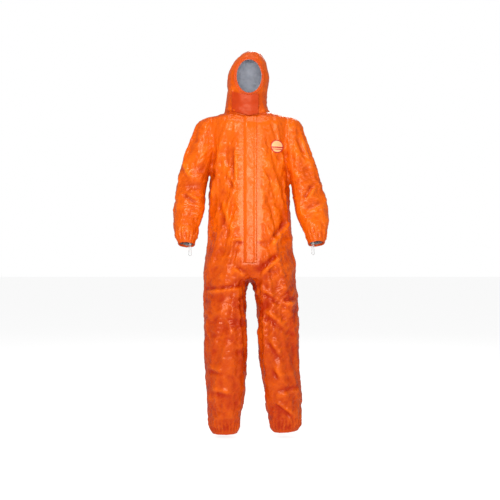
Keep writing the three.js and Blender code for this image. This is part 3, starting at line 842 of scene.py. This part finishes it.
def seam_paths():
    """Stations of every taped seam of the body, sleeves and legs, with its half width."""
    y_across, x_across = (0, 1, 0), (1, 0, 0)
    paths = [([((0, 0, z), (0, 1, 0), x_across) for z in heights(1.415, 0.745)], 0.010)]
    around = [math.radians(a) for a in range(0, 181, 5)]
    crotch = [((0, 0, HEM_Z + 0.80), (0, -math.cos(a), -math.sin(a)), x_across) for a in around]
    paths.append((crotch[3:-3], 0.008))
    for side, sign in SIDES.items():
        out, back_in = (sign, 0, 0), (-sign, 0, 0)
        paths.append(([((0, 0, z), out, y_across) for z in heights(1.115, 0.80)], 0.010))
        hip, knee = joint_at(f"hip_{side}"), joint_at(f"knee_{side}")
        ankle = ENDS[f"hem_{side}"][0]
        shoulder, elbow = joint_at(f"shoulder_{side}"), joint_at(f"elbow_{side}")
        wrist = ENDS[f"cuff_{side}"][0]
        outseam, inseam, sleeve = [], [], []
        for z in heights(0.80, 0.028):
            joints = (hip, knee) if z > knee[2] else (knee, ankle)
            middle = limb_middle(side, joints, z)
            outseam.append((middle, out, y_across))
            if z < HEM_Z + 0.66:
                inseam.append((middle, back_in, y_across))
        for z in heights(1.11, 0.895):
            joints = (shoulder, elbow) if z > elbow[2] else (elbow, wrist)
            sleeve.append((limb_middle(side, joints, z), (-0.5 * sign, 0.87, 0), (0.87 * sign, 0.5, 0)))
        paths += [(outseam, 0.009), (inseam, 0.009), (sleeve, 0.008)]
        seam_x = np.arange(0.10, 0.160, 0.006)
        shoulders = [((sign * x, 0, HEM_Z + 1.37), (0, 0, 1), y_across) for x in seam_x]
        paths.append((shoulders, 0.009))
        low = np.array([ARMPITS[side][0] + 0.006, 0, ARMPITS[side][1] + 0.03])
        high = np.array([0.160, 0, 1.425])
        up = (high - low) / np.linalg.norm(high - low) * (sign, 1, 1)
        centre = (low + high) / 2 * (sign, 1, 1) + (0, 0, HEM_Z)
        through = np.cross(up, (0, 1, 0))
        turns = [math.radians(a) for a in range(0, 364, 4)]
        ring = [(centre, np.array((0, math.cos(a), 0)) + up * math.sin(a), through) for a in turns]
        paths.append((ring, 0.009))
        over = [math.radians(a) for a in range(38, 181, 4)]
        x = sign * 0.038
        crown = [((x, 0.0, HEM_Z + 1.60), (0, -math.cos(a), math.sin(a)), x_across) for a in over]
        crown += [((x, 0, z), (0, 1, 0), x_across) for z in heights(1.594, 1.455)]
        paths.append((crown, 0.007))
    return paths


def seam_tapes(surface):
    all_rows = []
    for stations, half_width in seam_paths():
        rows = strip_rows(surface, stations, half_width, TAPE_LIFTS)
        all_rows.append((rows, stations[0][1]))
    return strips_skin(all_rows)


# ---- materials
def colour(red, green, blue):
    """A linear colour from one as screens show it, 0 to 255."""
    parts = (c / 255 for c in (red, green, blue))
    return *(((c + 0.055) / 1.055) ** 2.4 if c > 10 / 255 else c / 12.92 for c in parts), 1


class Nodes:
    """A material's node tree, with short ways to add and join nodes."""

    def __init__(self, name, roughness, **constants):
        self.material = bpy.data.materials.new(name)
        self.material.use_nodes = True
        self.tree = self.material.node_tree
        self.shader = self.tree.nodes["Principled BSDF"]
        self.shader.inputs["Roughness"].default_value = roughness
        for socket, value in constants.items():
            self.shader.inputs[socket.replace("_", " ")].default_value = value
        self.place = self.tree.nodes.new("ShaderNodeTexCoord").outputs["Object"]

    def join(self, source, node, socket):
        self.tree.links.new(source, node.inputs[socket])

    def noise(self, scale, detail=3.0, roughness=0.55, distortion=0.0):
        """Noise with its scale in features per metre."""
        node = self.tree.nodes.new("ShaderNodeTexNoise")
        node.inputs["Scale"].default_value = scale
        node.inputs["Detail"].default_value = detail
        node.inputs["Roughness"].default_value = roughness
        node.inputs["Distortion"].default_value = distortion
        self.join(self.place, node, "Vector")
        return node.outputs["Fac"]

    def cells(self, scale):
        """Distance to the edges of cells, this many to a metre."""
        node = self.tree.nodes.new("ShaderNodeTexVoronoi")
        node.feature = "DISTANCE_TO_EDGE"
        node.inputs["Scale"].default_value = scale
        self.join(self.place, node, "Vector")
        return node.outputs["Distance"]

    def waves(self, scale, direction="Z", distortion=0.0):
        node = self.tree.nodes.new("ShaderNodeTexWave")
        node.bands_direction = direction
        node.inputs["Scale"].default_value = scale
        node.inputs["Distortion"].default_value = distortion
        self.join(self.place, node, "Vector")
        return node.outputs["Fac"]

    def ramp(self, source, low, high, first, second):
        """A colour that goes from first to second as the source goes from low to high."""
        node = self.tree.nodes.new("ShaderNodeValToRGB")
        stops = node.color_ramp.elements
        stops[0].position, stops[1].position = low, high
        stops[0].color, stops[1].color = first, second
        self.join(source, node, "Fac")
        return node.outputs["Color"]

    def mix(self, factor, first, second):
        node = self.tree.nodes.new("ShaderNodeMix")
        node.data_type = "RGBA"
        for socket, value in ((0, factor), (6, first), (7, second)):
            if isinstance(value, bpy.types.NodeSocket):
                self.tree.links.new(value, node.inputs[socket])
            else:
                node.inputs[socket].default_value = value
        return node.outputs[2]

    def attribute(self, name):
        node = self.tree.nodes.new("ShaderNodeAttribute")
        node.attribute_name = name
        return node.outputs["Fac"]

    def to_range(self, source, low, high):
        node = self.tree.nodes.new("ShaderNodeMapRange")
        node.inputs["To Min"].default_value = low
        node.inputs["To Max"].default_value = high
        self.join(source, node, "Value")
        return node.outputs["Result"]

    def base(self, source):
        self.join(source, self.shader, "Base Color")

    def roughness(self, source, low, high):
        self.join(self.to_range(source, low, high), self.shader, "Roughness")

    def bump(self, source, depth, strength=1.0, under=None):
        """Adds relief of a depth in metres, on top of the relief under it."""
        node = self.tree.nodes.new("ShaderNodeBump")
        node.inputs["Strength"].default_value = strength
        node.inputs["Distance"].default_value = depth
        self.join(source, node, "Height")
        if under is not None:
            self.join(under, node, "Normal")
        self.join(node.outputs["Normal"], self.shader, "Normal")
        return node.outputs["Normal"]


# The laminate's painted shade and painted light colours.
PAINTED_SHADE_ORANGE = colour(176, 42, 2)
PAINTED_LIGHT_ORANGE = colour(248, 112, 6)


def laminate_look(name="laminate", painted_shade_end=PAINTED_SHADE_ORANGE, painted_light_end=PAINTED_LIGHT_ORANGE, shine=0.27):
    """Coated nonwoven: a film with fine crinkles over a faint fibre print, its orange made lighter and
    darker by the shade attribute: painted light and shade.
    """
    look = Nodes(name, shine, IOR=1.5, Specular_Tint=(1.0, 0.62, 0.42, 1))
    # painted light and shade: the shade attribute picks a colour between the painted shade and painted
    # light ends
    shade = look.ramp(look.attribute("shade"), 0.1, 0.95, painted_shade_end, painted_light_end)
    blotches = look.ramp(look.noise(7, 3), 0.3, 0.72, (0.93, 0.88, 0.85, 1), (1, 1, 1, 1))
    node = look.tree.nodes.new("ShaderNodeMix")
    node.data_type, node.blend_type = "RGBA", "MULTIPLY"
    node.inputs[0].default_value = 1.0
    look.tree.links.new(shade, node.inputs[6])
    look.tree.links.new(blotches, node.inputs[7])
    look.base(node.outputs[2])
    look.roughness(look.noise(60, 3), shine - 0.05, shine + 0.07)
    crinkles = look.bump(look.noise(60, 4, 0.55, 0.9), 0.0006)
    cells = look.bump(look.cells(85), 0.0004, under=crinkles)
    look.bump(look.noise(900, 2), 0.00008, under=cells)
    return look.material


def plain_cloth(name, first, second, roughness, scale, depth, **constants):
    """A matt or satin cloth with a fine grain and a little unevenness in its colour."""
    look = Nodes(name, roughness, **constants)
    look.base(look.ramp(look.noise(scale, 4), 0.3, 0.7, first, second))
    grain = look.bump(look.noise(scale * 12, 2), depth)
    look.bump(look.noise(70, 4), depth * 6, under=grain)
    return look.material


def elastic_look():
    """Knitted white elastic with close ribs across it, painted grey in the grooves between the ribs:
    painted shade.
    """
    look = Nodes("white_elastic", 0.75, Sheen_Weight=0.3)
    ribs = look.waves(700, "Z", 0.6)
    # painted shade: grey in the ribs' grooves, white on their crests
    look.base(look.ramp(ribs, 0.1, 0.9, colour(196, 198, 198), colour(246, 246, 243)))
    look.bump(ribs, 0.0005, under=look.bump(look.noise(1500, 2), 0.0002))
    return look.material


def woven_look(name, dark, light):
    """A woven tape with threads both ways."""
    look = Nodes(name, 0.7, Sheen_Weight=0.2)
    across, down = look.waves(600, "X"), look.waves(450, "Z")
    look.base(look.mix(look.noise(400, 2), dark, light))
    look.bump(across, 0.0002, under=look.bump(down, 0.0002))
    return look.material


def moulded_look(name, dark, light):
    """Moulded zip plastic: smooth, a little cloudy and finely scratched."""
    look = Nodes(name, 0.4, IOR=1.48)
    look.base(look.mix(look.noise(120, 3), dark, light))
    look.roughness(look.noise(300, 4), 0.3, 0.5)
    look.bump(look.noise(900, 3), 0.00008)
    return look.material


def badge_look():
    """The badge's print: a pale disc with two plain red bars across its lower half."""
    look = Nodes("badge_print", 0.4)
    split = look.tree.nodes.new("ShaderNodeSeparateXYZ")
    look.join(look.place, split, "Vector")
    paper = look.mix(look.noise(120, 3), colour(246, 172, 112), colour(252, 192, 134))
    ink = colour(190, 30, 44)
    printed = paper
    for drop, half in BADGE_BARS:
        bar = look.tree.nodes.new("ShaderNodeMath")
        bar.operation = "COMPARE"
        bar.inputs[1].default_value = middle_of("chest_badge")[2] - drop
        bar.inputs[2].default_value = half
        look.join(split.outputs["Z"], bar, 0)
        printed = look.mix(bar.outputs["Value"], printed, ink)
    look.base(printed)
    look.bump(look.noise(900, 2), 0.00008)
    return look.material


BADGE_BARS = [(0.004, 0.0028), (0.0125, 0.0018)]  # distance under the badge's middle, half height

# Each laminate look runs between a painted shade colour and a painted light colour.
LAMINATE = laminate_look()
SEAM_TAPE = laminate_look("seam_tape", colour(184, 48, 3), colour(244, 108, 8), 0.24)
FLAP = laminate_look("flap_laminate")
# A darker copy of the laminate for the chin flap: painted shade on the throat under the face opening.
CHIN_PAINTED_SHADE = laminate_look("chin_laminate_painted_shade", colour(168, 36, 2), colour(216, 74, 4), 0.40)
# A darker copy of the laminate for the face, cuff and ankle hems: painted shade on the gathered hems.
HEM_PAINTED_SHADE = laminate_look("hem_laminate_painted_shade", colour(170, 40, 2), colour(236, 98, 6), 0.34)
LINING = plain_cloth("grey_lining", colour(184, 188, 198), colour(206, 209, 218), 0.85, 40, 0.0002)
# A darker copy of the grey lining for inside the sleeves' ends: painted shade.
LINING_PAINTED_SHADE = plain_cloth("lining_painted_shade", colour(104, 106, 110), colour(132, 134, 138), 0.85, 40, 0.0002)
ELASTIC = elastic_look()
ZIP_TAPE = woven_look("zip_tape", colour(186, 62, 12), colour(222, 92, 26))
ZIP_PLASTIC = moulded_look("zip_plastic", colour(170, 52, 10), colour(214, 84, 24))
LINER = plain_cloth("release_liner", colour(226, 222, 210), colour(246, 243, 234), 0.5, 60, 0.00008)
LABEL = woven_look("label_cloth", colour(216, 216, 214), colour(244, 244, 242))
BADGE = badge_look()
BADGE_RED = plain_cloth("badge_red", colour(176, 24, 40), colour(200, 36, 50), 0.4, 120, 0.00008)


def finish(piece, look, slot, *nodes):
    """Gives a piece its material and hides the CAD nodes that it stands for; the slot is not used."""
    piece.data.materials.clear()
    piece.data.materials.append(look)
    if nodes:
        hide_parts(*nodes)
    return piece


# ---- building the skins
def skin_arrays():
    """The whole suit's skin after its cloth has settled and crumpled."""
    cloth = cut_openings(one_skin())
    settle(cloth)
    plain, normal, quads = subdivided(cloth)
    bpy.data.objects.remove(cloth)
    lift = crumple(plain)
    points = press_back(plain + lift[:, None] * normal)
    return Skin(points, vertex_normals(points, quads), quads, painted_light_and_shade(points, lift), plain)


STOOD_FOR = {
    "torso": [
        "front_panel_left", "front_panel_right", "back_panel_left", "back_panel_right", "crotch_gusset",
    ],
    "hood": ["throat_panel", "hood_centre_panel", "hood_side_left", "hood_side_right"],
}
TAPES_STOOD_FOR = {
    "torso": ["back_seam_tape"]
    + [f"{seam}_seam_tape_{side}" for seam in ("side", "shoulder", "armhole") for side in SIDES],
    "hood": [f"hood_seam_tape_{side}" for side in SIDES],
}


def dress(skin):
    """The laminate of every part of the suit."""
    where = region_of(skin.plain[skin.quads].mean(axis=1))
    for region in REGIONS:
        piece = piece_of(skin, where == region, f"{region}_laminate")
        finish(piece, LAMINATE, "laminate", *STOOD_FOR.get(region, [region]))
        follow(piece, region)


def tape(skin):
    """The seam tapes of every part of the suit."""
    tapes = seam_tapes(Surface(skin))
    where = region_of(tapes.points[tapes.quads].mean(axis=1))
    for region in REGIONS:
        if (where == region).any():
            piece = piece_of(tapes, where == region, f"{region}_seam_tape")
            finish(piece, SEAM_TAPE, "seam_tape", *TAPES_STOOD_FOR.get(region, []))
            follow(piece, region)


def line(skin):
    """The grey inside of the laminate, where the openings show it."""
    centres = skin.plain[skin.quads].mean(axis=1)
    where, height = region_of(centres), centres[:, 2] - HEM_Z
    shown = {"hood": (LINING, FAR)}
    for side in SIDES:
        # inside the sleeves' ends the lining is darker: painted shade
        shown[f"sleeve_lower_{side}"] = (LINING_PAINTED_SHADE, 0.93)
        shown[f"leg_lower_{side}"] = (LINING, 0.05)
    for region, (look, top) in shown.items():
        piece = piece_of(skin, (where == region) & (height < top), f"{region}_lining", -0.0014, True)
        finish(piece, look, "laminate")
        follow(piece, region)


# ---- flaps, hems and small pieces
def thickened(target, thickness):
    """Gives a one-sided sheet its thickness, inwards from its face."""
    solid = target.modifiers.new("thick", "SOLIDIFY")
    solid.thickness = thickness
    solid.offset = -1
    apply_modifiers(target)
    return target


def smoothed(depths, times):
    """A grid of depths with its small bumps averaged away."""
    for _ in range(times):
        wide = np.pad(depths, 1, mode="edge")
        beside = wide[:-2, 1:-1] + wide[2:, 1:-1] + wide[1:-1, :-2] + wide[1:-1, 2:]
        depths = (beside + 2 * depths) / 6
    return depths


def sheet_piece(name, x, z, y):
    """A sheet through a grid of places, facing the front."""
    rows, columns = y.shape
    points = np.stack([x, y, z], axis=2).reshape(-1, 3)
    made = new_object(name, points, [face[::-1] for face in grid_quads(rows, columns)])
    store_painted_light_and_shade(made, painted_light_and_shade(points))
    return made


def storm_flap(surface):
    """The flap over the zip: sewn at its right, free at its left, with a stitched edge."""
    rows, columns = np.arange(*FLAP_ENDS, 0.004), np.linspace(*FLAP_EDGES, 19)
    z, x = np.meshgrid(rows, columns, indexing="ij")
    base = surface.front(x, z, zip_line(z))
    base = smoothed(np.where(z < ZIP_HIGH, np.minimum(base, zip_line(z)), base), 12)
    over_zip = smoothstep(FLAP_EDGES[0], FLAP_EDGES[0] + 0.016, x)
    lifted = -0.0004 + 0.0053 * over_zip - 0.0026 * smoothstep(ZIP_X + 0.009, ZIP_X + 0.019, x)
    places = np.column_stack([x.ravel(), 0 * x.ravel(), z.ravel()])
    ripples = 0.0009 + 0.0016 * creases(places, 0.052, 1, 0.3, (1.2, 1, 0.5))
    ripples += 0.0008 * creases(places, 0.027, 2)
    waves = np.clip(ripples, 0, 0.0026) * smoothstep(0, 0.012, places[:, 0] - FLAP_EDGES[0])
    edge = np.minimum(FLAP_EDGES[1] - x, z - FLAP_ENDS[0])
    stitch = 0.0006 * np.exp(-(((edge - 0.009) / 0.0016) ** 2))
    flap = sheet_piece("storm_flap_sheet", x, z, base - lifted - waves.reshape(x.shape) + stitch)
    thickened(flap, 0.0009)
    finish(flap, FLAP, "flap_laminate", "storm_flap")
    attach(flap, "storm_flap")
    edge = (slice(3, -8), slice(-4, -1))
    liner = sheet_piece("storm_flap_liner", x[edge], z[edge], (base - lifted + 0.0010)[edge])
    finish(thickened(liner, 0.0003), LINER, "release_liner", "storm_flap_adhesive")
    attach(liner, "storm_flap")
    liner = sheet_piece("front_liner", x[edge], z[edge], base[edge] - 0.0004)
    finish(thickened(liner, 0.0003), LINER, "release_liner", "front_adhesive_tape")
    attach(liner, "torso")


def chin_flap(surface):
    """The flap across the throat, with a lower edge that follows the neck seam."""
    left, right, top = -0.080, 0.041, HEM_Z + 1.524
    shares, x = np.meshgrid(np.linspace(0, 1, 25), np.linspace(left, right, 30), indexing="ij")
    low = HEM_Z + 1.430 + 0.30 * np.abs(x)
    z = low + (top + 3.0 * x**2 - low) * shares
    base = smoothed(surface.front(x, z, -0.09), 5)
    lifted = -0.0006 + 0.0040 * smoothstep(left, left + 0.04, x)
    places = np.column_stack([x.ravel(), 0 * x.ravel(), z.ravel()])
    waves = 0.0014 * np.abs(lattice_noise(places / (0.05, 1, 0.03), 81)).reshape(x.shape)
    edge = np.minimum(right - x, z - low)
    stitch = 0.0006 * np.exp(-(((edge - 0.007) / 0.0016) ** 2))
    flap = sheet_piece("chin_flap_sheet", x, z, base - lifted - waves + stitch)
    thickened(flap, 0.0009)
    finish(flap, CHIN_PAINTED_SHADE, "flap_laminate", "chin_flap")
    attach(flap, "chin_flap")
    tape_x = np.linspace(right - 0.016, right - 0.005, 5)
    columns = [int(np.argmin(abs(x[0] - a))) for a in tape_x]
    part = (slice(2, -2), columns)
    liner = sheet_piece("chin_flap_liner", x[part], z[part], (base - lifted + 0.0016)[part])
    thickened(liner, 0.0004)
    finish(liner, LINER, "release_liner", "chin_flap_adhesive")
    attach(liner, "chin_flap")


def ring_piece(name, rows):
    """A closed band through rings of points, all with the same number of points."""
    count = len(rows[0])
    points = np.array(rows).reshape(-1, 3)
    faces = []
    for i, k in itertools.product(range(len(rows) - 1), range(count)):
        a, b = i * count + k, i * count + (k + 1) % count
        faces.append((a, b, b + count, a + count))
    made = new_object(name, points, faces)
    # painted shade: 0.08 darker than the skin, which the hems' laminate shows
    store_painted_light_and_shade(made, np.clip(painted_light_and_shade(points) - 0.08, 0, 1))
    return made


def limb_hem(name, end, width, pleats, look, slot, body, *nodes):
    """An elasticated hem: a casing round the limb's end, gathered into small pleats."""
    middle, along, radius = ENDS[end]
    side = np.cross(along, (0, 1, 0))
    side /= np.linalg.norm(side)
    ahead = np.cross(side, along)
    angles = np.arange(pleats * 6) / (pleats * 6) * 2 * math.pi
    profile = [  # share of the hem's width from its end, height over the skin, share of the pleats
        (1.10, -0.0020, 0.8), (1.00, 0.0005, 0.9), (0.90, 0.0010, 1.0), (0.82, 0.0006, 0.8),
        (0.74, 0.0010, 1.0), (0.45, 0.0012, 1.0), (0.15, 0.0010, 0.9), (0.02, 0.0003, 0.7),
        (0.00, -0.0010, 0.5), (0.10, -0.0030, 0.4), (0.70, -0.0034, 0.4),
    ]
    wander = 0.5 * np.sin(3 * angles + 1.1) + 0.35 * np.sin(5 * angles)
    rows = []
    for share, height, gathered in profile:
        pleat = 0.0011 * gathered * (1 - 2 * np.abs(np.sin(angles * pleats / 2 + wander)))
        reach = radius + height + pleat
        up = share * width + 0.0008 * np.sin(angles * pleats / 3 + wander)
        ring = middle + np.outer(reach * np.cos(angles), side) + np.outer(reach * np.sin(angles), ahead)
        rows.append(ring - np.outer(up, along))
    finish(ring_piece(name, rows), look, slot, *nodes)
    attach(bpy.data.objects[name], body)


def face_hem(surface):
    """The gathered hem round the face opening, with its elastic inside."""
    pleats = 46
    angles = np.arange(pleats * 6) / (pleats * 6) * 2 * math.pi
    wander = 0.6 * np.sin(2 * angles) + 0.4 * np.sin(5 * angles + 1)
    profile = [  # distance out from the edge, height over the skin, share of the pleats
        (-0.0004, -0.0060, 0.3), (-0.0016, -0.0025, 0.5), (-0.0010, 0.0008, 0.8), (0.0012, 0.0024, 1.0),
        (0.0045, 0.0028, 1.0), (0.0072, 0.0020, 1.0), (0.0082, 0.0010, 0.9), (0.0095, 0.0016, 0.8),
        (0.0112, 0.0006, 0.5), (0.0125, -0.0010, 0.3),
    ]
    ring = np.column_stack([np.cos(angles), np.sin(angles)])
    across, up = (FACE_CENTRE[[0, 2]] + (np.array(FACE_HALF) + 0.006) * ring).T
    under = surface.front(across, up, -0.1)
    for _ in range(6):
        under = (np.roll(under, 1) + np.roll(under, -1) + 2 * under) / 4
    rows = []
    for out, height, gathered in profile:
        pleat = 0.0010 * gathered * (1 - 2 * np.abs(np.sin(angles * pleats / 2 + wander)))
        x = FACE_CENTRE[0] + (FACE_HALF[0] + out + 0.4 * pleat) * ring[:, 0]
        z = FACE_CENTRE[2] + (FACE_HALF[1] + out + 0.4 * pleat) * ring[:, 1]
        rows.append(np.column_stack([x, under - height - pleat, z]))
    hem = ring_piece("face_hem_gathered", rows)
    finish(hem, HEM_PAINTED_SHADE, "laminate", "face_hem", "face_elastic")
    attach(hem, "hood")


def finger_loop(side):
    """A teardrop of flat ribbed elastic that hangs from inside the cuff."""
    low, high = box_of(f"finger_loop_{side}")
    middle = (low + high) / 2
    half_width, half_thick = 0.0030, 0.0015
    radius = (high[0] - low[0]) / 2 - half_thick
    drop = low[2] + radius + half_thick
    strand = [(0.0030, high[2]), (0.0034, high[2] - 0.022), (0.0047, drop + 0.018)]
    bow = [(radius * math.sin(t), drop - radius * math.cos(t)) for t in np.linspace(1.9, -1.9, 14)]
    outline = spline([*strand, *bow, *[(-x, z) for x, z in reversed(strand)]], 5)
    tangent = np.gradient(outline, axis=0)
    tangent /= np.linalg.norm(tangent, axis=1)[:, None]
    around = np.arange(10) / 10 * 2 * math.pi
    section = [(half_thick * math.cos(a), half_width * math.sin(a)) for a in around]
    rows = []
    for i, ((x, z), (along_x, along_z)) in enumerate(zip(outline, tangent)):
        rib = 1 + 0.15 * (-1) ** i
        rows.append([
            (middle[0] + x + along_z * out * rib, middle[1] + across, z - along_x * out * rib)
            for out, across in section
        ])
    loop = ring_piece(f"finger_loop_{side}_elastic", rows)
    finish(loop, ELASTIC, "white_elastic", f"finger_loop_{side}")
    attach(loop, f"finger_loop_{side}")


def badge(surface):
    """A plain roundel on the left chest: a pale disc, a red rim and two red bars."""
    centre = np.array([middle_of("chest_badge")[0], 0, middle_of("chest_badge")[2]])
    radius, around = 0.028, 48
    shares = np.array([0.02, 0.25, 0.5, 0.72, 0.88, 0.91, 1.0, 1.03])
    turns = np.arange(around) / around * 2 * math.pi
    x = centre[0] + radius * np.outer(shares, np.cos(turns))
    z = centre[2] + radius * np.outer(shares, np.sin(turns))
    skin_y = surface.front(x.ravel(), z.ravel(), -0.11)
    places = np.column_stack([np.ones(x.size), x.ravel(), z.ravel(), x.ravel() ** 2])
    smooth_y = places @ np.linalg.lstsq(places, skin_y, rcond=None)[0]
    smooth_y += min((skin_y - smooth_y).min(), 0) - 0.0003
    smooth_y[-around:] = skin_y[-around:] + 0.0006
    points = np.column_stack([x.ravel(), smooth_y, z.ravel()])
    disc = ring_piece("chest_badge_roundel", points.reshape(len(shares), around, 3))
    finish(disc, BADGE, "badge_print", "chest_badge")
    disc.data.materials.append(BADGE_RED)
    for i, polygon in enumerate(disc.data.polygons):
        polygon.material_index = int(i // around >= 4)
    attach(disc, "torso")


def zip_teeth(side, sign):
    """Two rows of small rounded teeth that mesh down the middle of the zip."""
    low, high = box_of(f"zip_coil_{side}")
    pitch, tall, depth = 0.0032, 0.0017, 0.0022
    start = pitch / 2 if sign > 0 else 0
    vertices, faces = [], []
    profile = [(0.0000, 0.6), (0.0004, 0.9), (0.0013, 1.0), (0.0021, 0.8), (0.0024, 0.5)]
    for z in np.arange(low[2] + 0.002 + start, high[2] - 0.002, pitch):
        first = len(vertices)
        y = zip_line(z) + 0.0031
        for reach, size in profile:
            x = ZIP_X + sign * (0.0002 + reach)
            for a in np.arange(8) / 8 * 2 * math.pi + math.pi / 8:
                vertices.append((x, y + depth / 2 * size * math.cos(a), z + tall / 2 * size * math.sin(a)))
        for i, k in itertools.product(range(len(profile) - 1), range(8)):
            a, b = first + i * 8 + k, first + i * 8 + (k + 1) % 8
            faces.append((a, b, b + 8, a + 8))
        faces.append(tuple(first + k for k in range(8))[::-1])
        faces.append(tuple(first + (len(profile) - 1) * 8 + k for k in range(8)))
    if sign < 0:
        faces = [face[::-1] for face in faces]
    teeth = new_object(f"zip_teeth_{side}", vertices, faces)
    finish(teeth, ZIP_PLASTIC, "zip_plastic", f"zip_coil_{side}")
    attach(teeth, "torso")


def inner_strip(surface, name, stations, half_width, look, slot, node):
    """A narrow band sewn on the inside of the laminate."""
    lifts = [-0.0022] * 7
    rows = strip_rows(surface, stations, half_width, lifts)
    band = strips_skin([(rows, -np.asarray(stations[0][1]))])
    piece = piece_of(band, np.ones(len(band.quads), bool), name)
    thickened(piece, 0.0008)
    finish(piece, look, slot, node)
    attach(piece, "torso")


def waist_and_label(surface):
    low, high = box_of("waist_elastic")
    middle_z = (low[2] + high[2]) / 2
    turns = [math.radians(a) for a in range(12, 169, 3)]
    around = [((0, 0, middle_z), (math.cos(a), math.sin(a), 0), (0, 0, 1)) for a in turns]
    inner_strip(surface, "waist_elastic_band", around, 0.0125, ELASTIC, "white_elastic", "waist_elastic")
    low, high = box_of("neck_label")
    middle_z = (low[2] + high[2]) / 2
    across = [((x, 0, middle_z), (0, 1, 0), (0, 0, 1)) for x in np.linspace(-0.024, 0.024, 9)]
    inner_strip(surface, "nape_label", across, 0.021, LABEL, "label_cloth", "neck_label")


def small_pieces(skin):
    surface = Surface(skin)
    storm_flap(surface)
    chin_flap(surface)
    face_hem(surface)
    badge(surface)
    waist_and_label(surface)
    for side, sign in SIDES.items():
        limb_hem(f"cuff_hem_{side}", f"cuff_{side}", 0.014, 20, HEM_PAINTED_SHADE, "laminate",
                 f"sleeve_lower_{side}", f"sleeve_cuff_{side}", f"wrist_elastic_{side}")
        limb_hem(f"ankle_hem_{side}_gathered", f"hem_{side}", 0.020, 30, HEM_PAINTED_SHADE, "laminate",
                 f"leg_lower_{side}", f"ankle_hem_{side}", f"ankle_elastic_{side}")
        finger_loop(side)
        zip_teeth(side, sign)


KEPT_NODES = {
    "zip_tape_left": ZIP_TAPE, "zip_tape_right": ZIP_TAPE, "zip_top_stop": ZIP_PLASTIC,
    "zip_bottom_stop": ZIP_PLASTIC, "zip_slider": ZIP_PLASTIC, "zip_pull": ZIP_PLASTIC,
    "inner_zip_guard": LAMINATE,
}


def repaint_kept_nodes():
    for name, look in KEPT_NODES.items():
        node = frame["nodes"][name]
        if not node.material_slots:
            node.data.materials.append(look)
        for slot in node.material_slots:
            slot.material = look


# ---- the studio
CAMERA_DISTANCE = 5.0
VIEW_WIDTH = 2.27  # of the picture, at the suit


def make_camera():
    """A camera straight in front of the suit, framed as the photograph is."""
    camera = linked("camera", bpy.data.cameras.new("camera"))
    camera.location = (0.002, -CAMERA_DISTANCE, HEM_Z + 0.831)
    camera.rotation_euler = (math.pi / 2, 0, 0)
    camera.data.lens = camera.data.sensor_width * CAMERA_DISTANCE / VIEW_WIDTH
    bpy.context.scene.camera = camera


def softbox(name, place, width, height, energy):
    """An area light that faces the suit's chest."""
    lamp = bpy.data.lights.new(name, "AREA")
    lamp.shape = "RECTANGLE"
    lamp.energy = energy
    lamp.size, lamp.size_y = width, height
    made = linked(name, lamp)
    made.location = place
    away = Vector(place) - Vector((0, 0, HEM_Z + 0.95))
    made.rotation_euler = away.to_track_quat("Z", "Y").to_euler()


def floor():
    """A plain pale floor, just under the trouser hems."""
    reach, z = 30.0, HEM_Z - 0.02
    corners = [(-reach, -reach, z), (reach, -reach, z), (reach, reach, z), (-reach, reach, z)]
    made = new_object("studio_floor", corners, [(0, 1, 2, 3)])
    look = bpy.data.materials.new("studio_paper")
    look.use_nodes = True
    shader = look.node_tree.nodes["Principled BSDF"]
    shader.inputs["Base Color"].default_value = (0.45, 0.45, 0.45, 1)
    shader.inputs["Roughness"].default_value = 0.9
    shader.inputs["Emission Color"].default_value = (1, 1, 1, 1)
    shader.inputs["Emission Strength"].default_value = 0.82
    made.data.materials.append(look)
    made.visible_glossy = False


def sky():
    """Soft light from all round, which the camera sees as white paper."""
    world = bpy.data.worlds.new("studio")
    world.use_nodes = True
    tree = world.node_tree
    light = tree.nodes["Background"]
    light.inputs["Color"].default_value = (1, 1, 1, 1)
    light.inputs["Strength"].default_value = 0.25
    paper = tree.nodes.new("ShaderNodeBackground")
    path, mix = tree.nodes.new("ShaderNodeLightPath"), tree.nodes.new("ShaderNodeMixShader")
    tree.links.new(path.outputs["Is Camera Ray"], mix.inputs[0])
    tree.links.new(light.outputs[0], mix.inputs[1])
    tree.links.new(paper.outputs[0], mix.inputs[2])
    paper.inputs["Color"].default_value = (1, 1, 1, 1)
    tree.links.new(mix.outputs[0], tree.nodes["World Output"].inputs["Surface"])
    bpy.context.scene.world = world


def studio():
    sky()
    floor()
    chest = HEM_Z + 0.95
    softbox("key", (-1.9, -3.8, chest + 2.3), 0.9, 0.9, 84)
    softbox("strip", (0.0, -4.9, chest + 0.24), 2.4, 0.22, 98)
    softbox("fill", (2.4, -2.6, chest + 0.9), 0.8, 0.8, 14)
    softbox("top", (0.0, -0.6, chest + 2.6), 1.4, 1.4, 20)
    softbox("behind", (0.6, 3.4, chest + 2.8), 1.4, 1.4, 46)
    bpy.context.scene.view_settings.view_transform = "Standard"


make_camera()
whole = skin_arrays()
dress(whole)
tape(whole)
line(whole)
small_pieces(whole)
repaint_kept_nodes()
studio()
